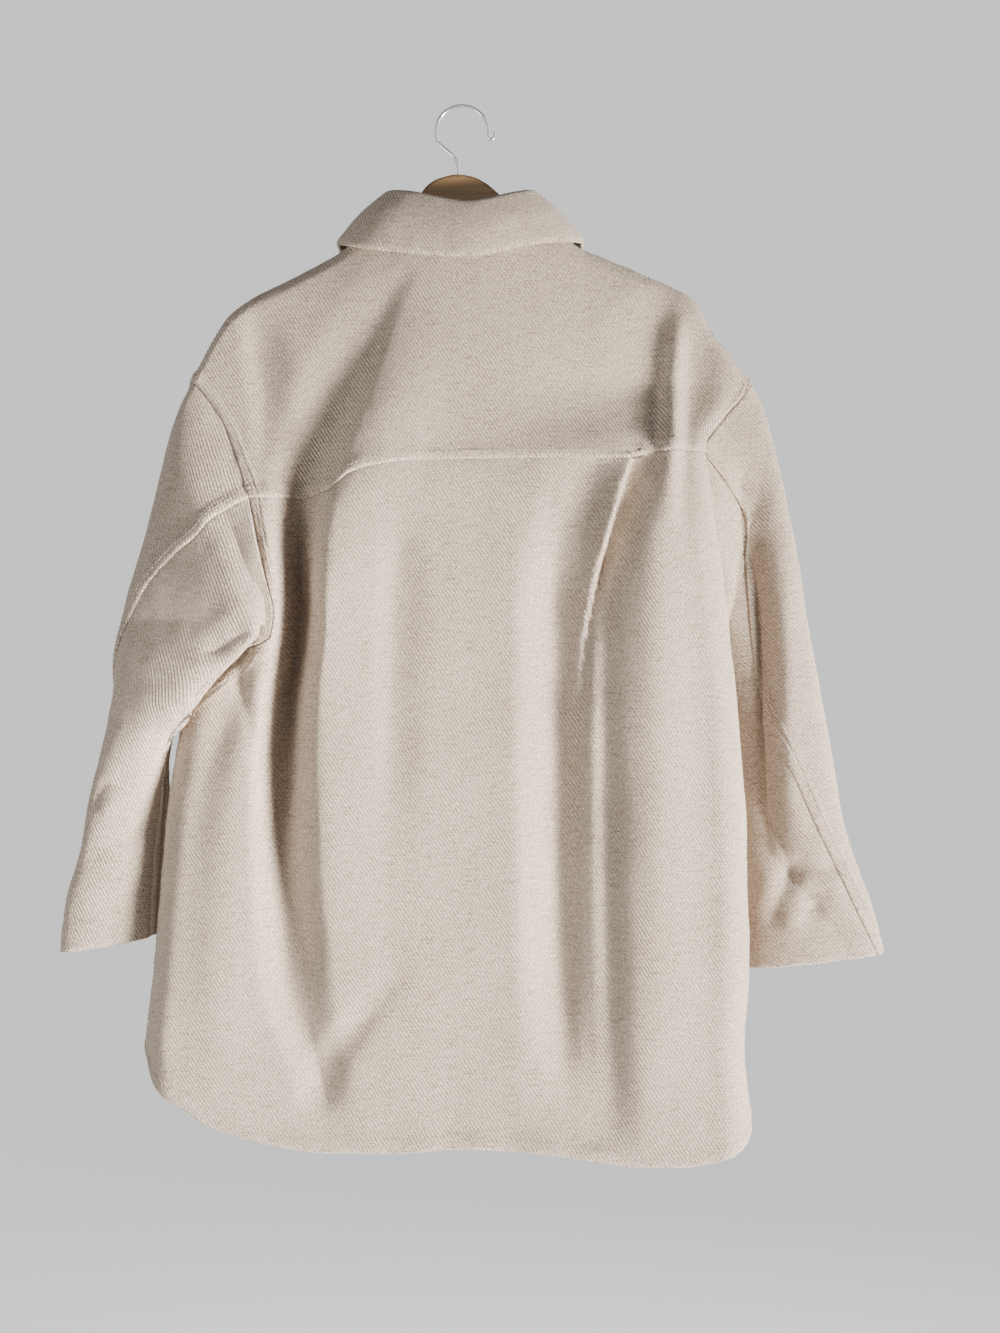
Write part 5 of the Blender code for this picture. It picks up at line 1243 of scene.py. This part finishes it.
def sleeveSkin(side, part, across, down):
    table = sleeveSizes[side]
    seams = [seamHalfTurn(seam) for seam in table.column("seam")]
    past = table.column("past")
    yokeSteps, frontSteps = sleeveShape["yokeSteps"], sleeveShape["frontSteps"]
    if part == "under":
        loop = armholePoints(side, 1 + across)
        shares = [seam + (1 + past[row] - seam) * across for row, seam in enumerate(seams)]
    else:
        column = across * (yokeSteps + frontSteps)
        near = np.where(column <= yokeSteps, 1 - column / yokeSteps, -(column - yokeSteps) / frontSteps)
        loop = armholePoints(side, near)
        shares = []
        for row, seam in enumerate(seams):
            kept = np.where(near > 0, near * max(seam, 0.0), near * (1 - past[row]))
            spread = seam + (past[row] - 1 - seam) * across
            blend = min(1.0, row / sleeveShape["blendRows"])
            shares.append(kept * (1 - blend) + spread * blend)
    rings = sleeveRings(side, loop, shares)
    ends = np.concatenate([armholePoints(side, np.array([0.0, 2.0])).reshape(1, 6), table.rows[:, 1:7]])
    length = np.concatenate(([0.0], np.cumsum(np.linalg.norm(np.diff(ends, axis=0), axis=1)))) / math.sqrt(2)
    skin = spreadRows(rings, length, down)
    if side == "left":
        skin[1:, :, :3] = outsideLeftSide(skin[1:, :, :3], skin[1:, :, 3])
    return skin[..., :3]


def clothLengths(skin):
    # flat coordinates of a piece, measured along the cloth from its middle line
    across = np.concatenate([np.zeros((skin.shape[0], 1)),
                             np.cumsum(np.linalg.norm(np.diff(skin, axis=1), axis=-1), axis=1)], axis=1)
    down = np.concatenate([np.zeros((1, skin.shape[1])),
                           np.cumsum(np.linalg.norm(np.diff(skin, axis=0), axis=-1), axis=0)])
    across = across - across[:, -1:] / 2
    return np.stack([across, -np.repeat(down.mean(axis=1, keepdims=True), skin.shape[1], axis=1)], axis=-1)


def sleeveGrain(skin, side, part):
    # flat coordinates of a sleeve piece, unrolled round the sleeve from its back seam
    rows = sleeveSizes[side].rows
    axis = unit(rows[-1, [1, 3]] - rows[0, [1, 3]])
    beside = np.array([-axis[1], axis[0]])
    aside = skin[..., [0, 2]] @ beside
    step = np.hypot(np.diff(aside, axis=1), np.diff(skin[..., 1], axis=1))
    run = np.concatenate([np.zeros((len(skin), 1)), np.cumsum(step, axis=1)], axis=1)
    sign = (-1 if side == "left" else 1) * (1 if part == "upper" else -1)
    flat = (aside[:, :1] + sign * run)[..., None] * beside + (skin[..., [0, 2]] @ axis)[..., None] * axis
    lean = math.radians(sleeveShape["lean"][side])
    across, down = flat[..., 0], flat[..., 1]
    return np.stack([across * math.cos(lean) - down * math.sin(lean),
                     across * math.sin(lean) + down * math.cos(lean)], axis=-1)


def creaseRelief(skin, normal, creases, seed):
    # soft troughs with low banks along short lines, seen from the back and again from the front
    form = creaseShape
    total = np.zeros(skin.shape[:2])
    for number, (fromX, fromZ, toX, toZ, depth, width) in enumerate(creases):
        line = np.array([toX - fromX, toZ - fromZ])
        off = skin[..., [0, 2]] - np.array([fromX, fromZ])
        along = (off @ line) / (line @ line)
        aside = (off[..., 0] * line[1] - off[..., 1] * line[0]) / np.linalg.norm(line)
        aside = aside + form["sway"] * np.sin(along * form["swayTurns"] + number + seed)
        ends = smoothStep(-0.35, 0.15, along) * (1 - smoothStep(0.85, 1.35, along))
        bank = np.exp(-((np.abs(aside) - form["bankAway"] * width) / width) ** 2)
        trough = np.exp(-np.abs(aside) / width) - form["bank"] * bank
        facing = smoothStep(0.0, 0.5, np.abs(normal[..., 1]))
        share = np.where(normal[..., 1] < 0, 1.0, form["frontShare"])
        total = total - depth * trough * ends * facing * share
    return total


sleeveSeams = dict(upper=dict(top=plainSeam, left=feltedSeam, right=plainSeam),
                   under=dict(top=plainSeam, left=plainSeam, right=plainSeam))
cuffHem = dict(raised=0.0007, allowance=0.024, stitched=(0.0225,), roll=0.0004, pucker=0.0004)
for side in ("left", "right"):
    for part, width in (("upper", 0.26), ("under", 0.13)):
        across = crowded(width, step=0.0032)
        down = crowded(length=0.50, step=0.0034, near=0.027, fine=0.0015)
        skin = sleeveSkin(side, part, across, down)
        middle = sleeveSizes[side].rows[:, 1:7].reshape(-1, 2, 3).mean(axis=1)[::-1]
        axis = np.stack([np.interp(skin[..., 2], middle[:, 2], middle[:, 0]),
                         np.interp(skin[..., 2], middle[:, 2], middle[:, 1]), skin[..., 2]], axis=-1)
        away = skin - axis
        normal = surfaceNormals(skin, away)
        creases = creaseRelief(skin, normal, sleeveCreases[side], 3 if side == "left" else 8)
        uv = sleeveGrain(skin, side, part)
        sewPanel("sleeve_" + side + "_" + part, skin, uv, away, ("top", "left", "right"),
                 dict(sleeveSeams[part], bottom=cuffHem), cloth["wall"], cap=0.3, mitre=cloth["sleeveMitre"],
                 extra=creases, seed=61 + 7 * len(sheets), unevenness=1.3)
print("sleeves ready")


# the collar: its seam round the neck, its stand and its leaf
def neckSeamPoints(along):
    points = np.zeros((len(along), 3))
    start, end = collarShape["neckBehind"]
    behind = (along >= start) & (along <= end)
    share = (along[behind] - start) / collarShape["behindLength"]
    column = neckColumns["left"] + share * (neckColumns["right"] - neckColumns["left"])
    x = columnLines.at("top", column)
    points[behind] = bodyPoint(-1, x, neckBehind(x))
    for side, chosen, share in (("left", along < start, 1 - along / start),
                                ("right", along > end, (along - end) / start)):
        sign = -1 if side == "left" else 1
        x = sign * shape["neckX"] + sign * (-shape["overlap"] - shape["neckX"]) * share[chosen]
        points[chosen] = frontSkin(side, flatLine(x, neckInFront(x)))
    return points


def smoothed(lines, times):
    for _ in range(times):
        lines = np.concatenate([lines[:1], (lines[:-2] + 2 * lines[1:-1] + lines[2:]) / 4, lines[-1:]])
    return lines


along = np.linspace(0, 1, collarShape["columns"])
seam = smoothed(neckSeamPoints(along), 4)
roll = np.stack([collarSizes.at("roll_" + axis, along) for axis in "xyz"], axis=-1)
edge = np.stack([collarSizes.at("edge_" + axis, along) for axis in "xyz"], axis=-1)
tangent = np.gradient(seam, axis=0)
outward = unit(np.stack([tangent[:, 1], -tangent[:, 0], np.zeros(len(seam))], axis=-1))
base = seam + np.array([0.0, 0.0, cloth["seamGap"]])
standRows = crowded(collarShape["standDepth"], step=0.0025, atEnd=False, near=0.010)
stand = base + (roll - base) * standRows[:, None, None]
sewPanel("collar_stand", stand, clothLengths(stand), outward[None], ("bottom",), dict(top=plainSeam),
         cloth["standWall"], seed=90, unevenness=0.3)
outward = smoothed(surfaceNormals(stand, outward[None])[-1], 12)
up = np.cross(outward, unit(smoothed(np.gradient(roll, axis=0), 8)))
up = unit(up * np.sign(np.sum(up * (roll - base), axis=-1, keepdims=True)))
centre = roll + outward * collarShape["rollOffset"] + up * collarShape["rollLift"]
trim = collarShape["leafTrim"]
centre, outward, up, edge = [line[trim:-trim] for line in (centre, outward, up, edge)]
leaf = [centre + collarShape["rollRadius"] * (outward * math.cos(turn) + up * math.sin(turn))
        for turn in np.radians(np.linspace(*collarShape["rollTurns"]))]
first = leaf[-1]
for share in crowded(collarShape["leafDepth"], step=0.0026, atStart=False)[1:]:
    leaf.append(first + (edge - first) * share + outward * collarShape["bow"] * math.sin(math.pi * share))
leaf = np.array(leaf)
collarEdge = dict(roll=0.0006, raised=0.0004, allowance=0.009, stitched=(0.0085,), pucker=0.0004,
                  puckerReach=0.02)
sewPanel("collar_leaf", leaf, clothLengths(leaf), outward[None], (),
         dict(bottom=collarEdge, left=collarEdge, right=collarEdge), cloth["leafWall"], seed=97,
         unevenness=0.8)
print("collar ready")


# the buttons, the thread in them, and the worked buttonholes
buttonSizes = dict(radius=0.011, thickness=0.003, rim=0.0022, dish=0.0007, holeRadius=0.0009, holeAway=0.0021,
                   count=6, top=-0.215, step=0.128, threads=(-0.00035, 0.0, 0.00035), threadRadius=0.00022)
holeSizes = dict(middle=0.0025, half=0.0125, slit=0.0011, square=0.6, strands=64, strandRadius=0.00026,
                 lift=0.0009, endStrand=0.0006)


def turnedPoints(profile, turns):
    return [[r * math.cos(2 * math.pi * t / turns), r * math.sin(2 * math.pi * t / turns), z]
            for r, z in profile for t in range(turns)]


def makeButton(name, height):
    size = buttonSizes
    half = size["thickness"] / 2
    radius = size["radius"]
    # its outline from the middle underneath, out over the rim, to the middle of the dish
    profile = [(0.0, -half), (radius * 0.75, -half), (radius - 0.0006, -half + 0.0003),
               (radius, -half + 0.0012), (radius - 0.0002, half - 0.0007), (radius - 0.0009, half),
               (radius - size["rim"], half), (radius - size["rim"] - 0.0009, half - size["dish"]),
               (0.0, half - size["dish"])]
    turns = 48
    points = turnedPoints(profile[1:-1], turns)
    points += [[0, 0, -half], [0, 0, half - size["dish"]]]
    mesh = bpy.data.meshes.new(name)
    faces = []
    rings = len(profile) - 2
    for ring in range(rings - 1):
        for t in range(turns):
            a, b = ring * turns + t, ring * turns + (t + 1) % turns
            faces.append((a, b, b + turns, a + turns))
    low, high = rings * turns, rings * turns + 1
    for t in range(turns):
        faces.append((low, (t + 1) % turns, t))
        faces.append((high, (rings - 1) * turns + t, (rings - 1) * turns + (t + 1) % turns))
    mesh.from_pydata(points, [], faces)
    mesh.shade_smooth()
    button = bpy.data.objects.new(name, mesh)
    bpy.context.scene.collection.objects.link(button)
    for number in range(4):
        angle = math.pi / 4 + number * math.pi / 2
        bpy.ops.mesh.primitive_cylinder_add(vertices=20, radius=size["holeRadius"], depth=0.01, location=(
            size["holeAway"] * math.cos(angle), size["holeAway"] * math.sin(angle), 0))
        drill = bpy.context.object
        cut = button.modifiers.new("hole", "BOOLEAN")
        cut.operation = "DIFFERENCE"
        cut.object = drill
        bpy.context.view_layer.update()
        drilled = bpy.data.meshes.new_from_object(button.evaluated_get(bpy.context.evaluated_depsgraph_get()))
        button.modifiers.clear()
        button.data = drilled
        bpy.data.objects.remove(drill, do_unlink=True)
    button.data.set_sharp_from_angle(angle=math.radians(40))
    skin = bodyPoint(1, np.zeros(3), np.array([height, height + radius, height - radius]))[:, 1]
    skin = skin + shape["overlapLift"]
    tilt = math.atan2(skin[2] - skin[1], 2 * radius)
    place = Vector((0.0, float(max(skin)) + cloth["seamGap"] + half, height))
    button.rotation_euler = (math.pi / 2 + tilt, 0.0, math.pi)
    button.location = place
    bpy.context.view_layer.update()
    button.data.transform(button.matrix_world)
    button.rotation_euler = (0, 0, 0)
    button.location = (0, 0, 0)
    return button, place, tilt


def threadBar(fromPoint, toPoint, radius, up):
    # a bowed strand between two points
    fromPoint, toPoint = np.array(fromPoint), np.array(toPoint)
    along = unit(toPoint - fromPoint)
    side = np.cross(along, up)
    points, faces = [], []
    for ring, share in enumerate(np.linspace(0, 1, 7)):
        middle = fromPoint + (toPoint - fromPoint) * share + up * radius * 2.2 * math.sin(math.pi * share)
        for turn in range(6):
            angle = turn * math.pi / 3
            points.append(middle + (side * math.cos(angle) + up * math.sin(angle)) * radius)
            if ring:
                a, b = (ring - 1) * 6 + turn, (ring - 1) * 6 + (turn + 1) % 6
                faces.append((a, b, b + 6, a + 6))
    last = 36
    faces += [(0, 5, 4, 3), (0, 3, 2, 1), (last, last + 1, last + 2, last + 3),
              (last, last + 3, last + 4, last + 5)]
    return np.array(points), np.array(faces)


buttonThreads, buttonholes = [], []
for number in range(buttonSizes["count"]):
    height = buttonSizes["top"] - buttonSizes["step"] * number
    button, place, tilt = makeButton("hornButton" + str(number + 1), height)
    wear(button, horn, "button_" + str(number + 1))
    up = np.array([0.0, math.cos(tilt), math.sin(tilt)])
    face = np.array(place) + up * (buttonSizes["thickness"] / 2 - buttonSizes["dish"] - 0.0001)
    spot = buttonSizes["holeAway"] / math.sqrt(2)
    for level in (-1, 1):
        for shift in buttonSizes["threads"]:
            low = face + np.array([-spot, 0, level * spot + shift])
            high = face + np.array([spot, 0, level * spot + shift])
            buttonThreads.append(threadBar(low, high, buttonSizes["threadRadius"], up))
    # the worked edge of the buttonhole, round its slit
    size = holeSizes
    for step in range(size["strands"]):
        angle = 2 * math.pi * step / size["strands"]
        across = size["half"] * np.sign(math.cos(angle)) * abs(math.cos(angle)) ** size["square"]
        centre = np.array([size["middle"] + across, 0.0, height + size["slit"] * math.sin(angle)])
        aside = np.array([size["endStrand"] * math.cos(angle), 0.0,
                          size["slit"] * (1 if math.sin(angle) >= 0 else -1)])
        ground = bodyPoint(1, np.array([centre[0]]), np.array([centre[2]]))[0, 1]
        centre[1] = ground + shape["overlapLift"] + size["lift"]
        buttonholes.append(threadBar(centre - aside, centre + aside, size["strandRadius"], up))
for name, parts in (("buttonThreads", buttonThreads), ("buttonholeStitches", buttonholes)):
    wear(meshPiece(name, *joinParts(parts)), sewingThread, None)
print("buttons ready")


# the hanger: a flat board with a crown in the middle, and a hook of bent wire
woodSizes = dict(thickness=0.012, bevel=0.0034, reach=0.206, clearance=0.0016, waist=0.104, cadWall=0.0025,
                 tipCut=0.006, armDepth=0.026, middleDepth=0.012, crownFoot=-0.1060, crownSlope=0.17)
woodCrown = SizeTable("x z", [
    (-0.104, -0.1345), (-0.092, -0.1335), (-0.080, -0.1340), (-0.070, -0.1280), (-0.055, -0.1080),
    (-0.040, -0.0830), (-0.031, -0.0713), (-0.020, -0.0653), (-0.004, -0.0620), (0.009, -0.0639),
    (0.022, -0.0699), (0.031, -0.0773), (0.040, -0.0860), (0.055, -0.1080), (0.070, -0.1280),
    (0.080, -0.1335), (0.092, -0.1335), (0.104, -0.1330),
])
hookSizes = dict(wire=0.0016, bend=0.024, stemX=-0.0037,
                 stem=[(-0.0037, -0.0560), (-0.0045, -0.0500), (-0.0085, -0.0440), (-0.0150, -0.0385)],
                 tip=[(0.0252, -0.0290), (0.0282, -0.0290), (0.0296, -0.0262), (0.0296, -0.0225)])


def bentWire(name, line, radius, resolution, material, node, slotName):
    curve = bpy.data.curves.new(name, "CURVE")
    curve.dimensions = "3D"
    curve.bevel_depth = radius
    curve.bevel_resolution = resolution
    curve.use_fill_caps = True
    spline = curve.splines.new("POLY")
    spline.points.add(len(line) - 1)
    for point, (x, z) in zip(spline.points, line):
        point.co = (x, 0.0, z, 1.0)
    return shown(name, curve, material, node, slotName)


def shown(name, curve, material, node, slotName, turn=0.0):
    drawn = bpy.data.objects.new(name + "Curve", curve)
    bpy.context.scene.collection.objects.link(drawn)
    drawn.rotation_euler = (turn, 0.0, 0.0)
    bpy.context.view_layer.update()
    mesh = bpy.data.meshes.new_from_object(drawn.evaluated_get(bpy.context.evaluated_depsgraph_get()))
    mesh.transform(drawn.matrix_world)
    bpy.data.objects.remove(drawn, do_unlink=True)
    mesh.shade_smooth()
    mesh.set_sharp_from_angle(angle=math.radians(40))
    piece = bpy.data.objects.new(name, mesh)
    bpy.context.scene.collection.objects.link(piece)
    return wear(piece, material, node)


def woodLine():
    # over the top from the left tip to the right one, and back underneath
    size = woodSizes
    outline = []
    for x in np.linspace(-size["reach"], size["reach"], 161):
        if abs(x) > size["waist"]:
            slope = float(roof.at("z", x + 0.001) - roof.at("z", x - 0.001)) / 0.002
            drop = (size["cadWall"] + size["clearance"]) * math.hypot(1.0, slope)
            outline.append((x, float(roof.at("z", x)) - drop))
        else:
            outline.append((x, float(woodCrown.at("z", x))))
    for x in np.linspace(size["reach"] - size["tipCut"], -size["reach"] + size["tipCut"], 81):
        crown = size["crownFoot"] - size["crownSlope"] * abs(x)
        arm = float(roof.at("z", x)) if abs(x) > size["waist"] else crown
        outline.append((x, arm - size["armDepth"] - size["middleDepth"] * (1 - abs(x) / size["reach"])))
    return outline


board = bpy.data.curves.new("hangerBoard", "CURVE")
board.dimensions = "2D"
board.fill_mode = "BOTH"
board.extrude = woodSizes["thickness"] / 2 - woodSizes["bevel"]
board.bevel_depth = woodSizes["bevel"]
board.bevel_resolution = 5
board.offset = -woodSizes["bevel"]
spline = board.splines.new("POLY")
outline = woodLine()
spline.points.add(len(outline) - 1)
for point, (x, z) in zip(spline.points, outline):
    point.co = (x, z, 0.0, 1.0)
spline.use_cyclic_u = True
shown("hangerBoard", board, beech, "hanger_wood", "beech", math.pi / 2)

foot = (hookSizes["stemX"], float(woodCrown.at("z", hookSizes["stemX"])) + cloth["seamGap"])
wire, radius = hookSizes["wire"], hookSizes["bend"]
bend = [(radius * math.cos(angle), wire - radius + radius * math.sin(angle))
        for angle in np.radians(np.linspace(205, -8, 90))]
bentWire("hookWire", [foot] + hookSizes["stem"] + bend + hookSizes["tip"], wire, 7, steel, "hanger_hook",
         "polished_steel")
print("hanger ready")

for name, parts in stitchParts.items():
    stitches = meshPiece(name + "_stitches", *joinParts(parts))
    wear(stitches, sewingThread, None)
    sheets[name] = (*sheets[name], stitches)
for name, (piece, flat, area, *sewnOn) in sheets.items():
    print("sheet", name, flat, area)

# backdrop, light and camera
coveSizes = dict(radius=6.0, floor=-2.4, corner=1.6, top=4.5, turns=96, glow=0.72)


def makeCove():
    size = coveSizes
    profile = [(0.0, size["floor"]), (size["radius"] - size["corner"], size["floor"])]
    for turn in np.radians(np.linspace(8, 90, 12)):
        profile.append((size["radius"] - size["corner"] + size["corner"] * math.sin(turn),
                        size["floor"] + size["corner"] * (1 - math.cos(turn))))
    profile.append((size["radius"], size["top"]))
    turns = size["turns"]
    points = turnedPoints(profile, turns)
    faces = [(ring * turns + t, ring * turns + (t + 1) % turns, (ring + 1) * turns + (t + 1) % turns,
              (ring + 1) * turns + t) for ring in range(len(profile) - 1) for t in range(turns)]
    cove = meshPiece("studioCove", np.array(points), np.array(faces))
    material, tree, shader = freshMaterial("paintedCove")
    shader.inputs["Base Color"].default_value = (0.84, 0.835, 0.825, 1)
    shader.inputs["Roughness"].default_value = 0.9
    shader.inputs["Emission Color"].default_value = (0.99, 0.99, 1.0, 1)
    shader.inputs["Emission Strength"].default_value = size["glow"]
    cove.data.materials.append(material)
    cove.visible_diffuse = False


def addLight(name, place, target, size, power, color, spread=180):
    lamp = bpy.data.lights.new(name, "AREA")
    lamp.shape = "RECTANGLE"
    lamp.size, lamp.size_y = size
    lamp.energy = power
    lamp.spread = math.radians(spread)
    lamp.color = color
    light = bpy.data.objects.new(name, lamp)
    light.location = place
    light.rotation_euler = (Vector(target) - Vector(place)).to_track_quat("-Z", "Y").to_euler()
    bpy.context.scene.collection.objects.link(light)


makeCove()
addLight("windowLight", place=(2.3, -1.15, -1.75), target=(0.0, 0.0, -0.74), size=(1.3, 1.3), power=33.0,
         color=(1.0, 0.965, 0.92), spread=26)
addLight("softFill", place=(-2.0, -1.5, -1.4), target=(-0.3, 0.0, -0.62), size=(0.9, 1.1), power=40.0,
         color=(1.0, 0.985, 0.96))
addLight("backFill", place=(0.6, 3.0, 0.9), target=(0.0, 0.0, -0.5), size=(2.4, 1.6), power=120.0,
         color=(1.0, 1.0, 1.0))
world = bpy.data.worlds.new("softDaylight")
world.use_nodes = True
world.node_tree.nodes["Background"].inputs["Color"].default_value = (0.93, 0.95, 1.0, 1)
world.node_tree.nodes["Background"].inputs["Strength"].default_value = 0.20
bpy.context.scene.world = world

studioCamera = dict(sensor=36.0, lens=46.97, place=(0.035, -1.6, -0.514))
lens = bpy.data.cameras.new("studioCamera")
lens.sensor_width = studioCamera["sensor"]
lens.lens = studioCamera["lens"]
camera = bpy.data.objects.new("studioCamera", lens)
camera.location = studioCamera["place"]
camera.rotation_euler = (math.pi / 2, 0.0, 0.0)
bpy.context.scene.collection.objects.link(camera)
bpy.context.scene.camera = camera
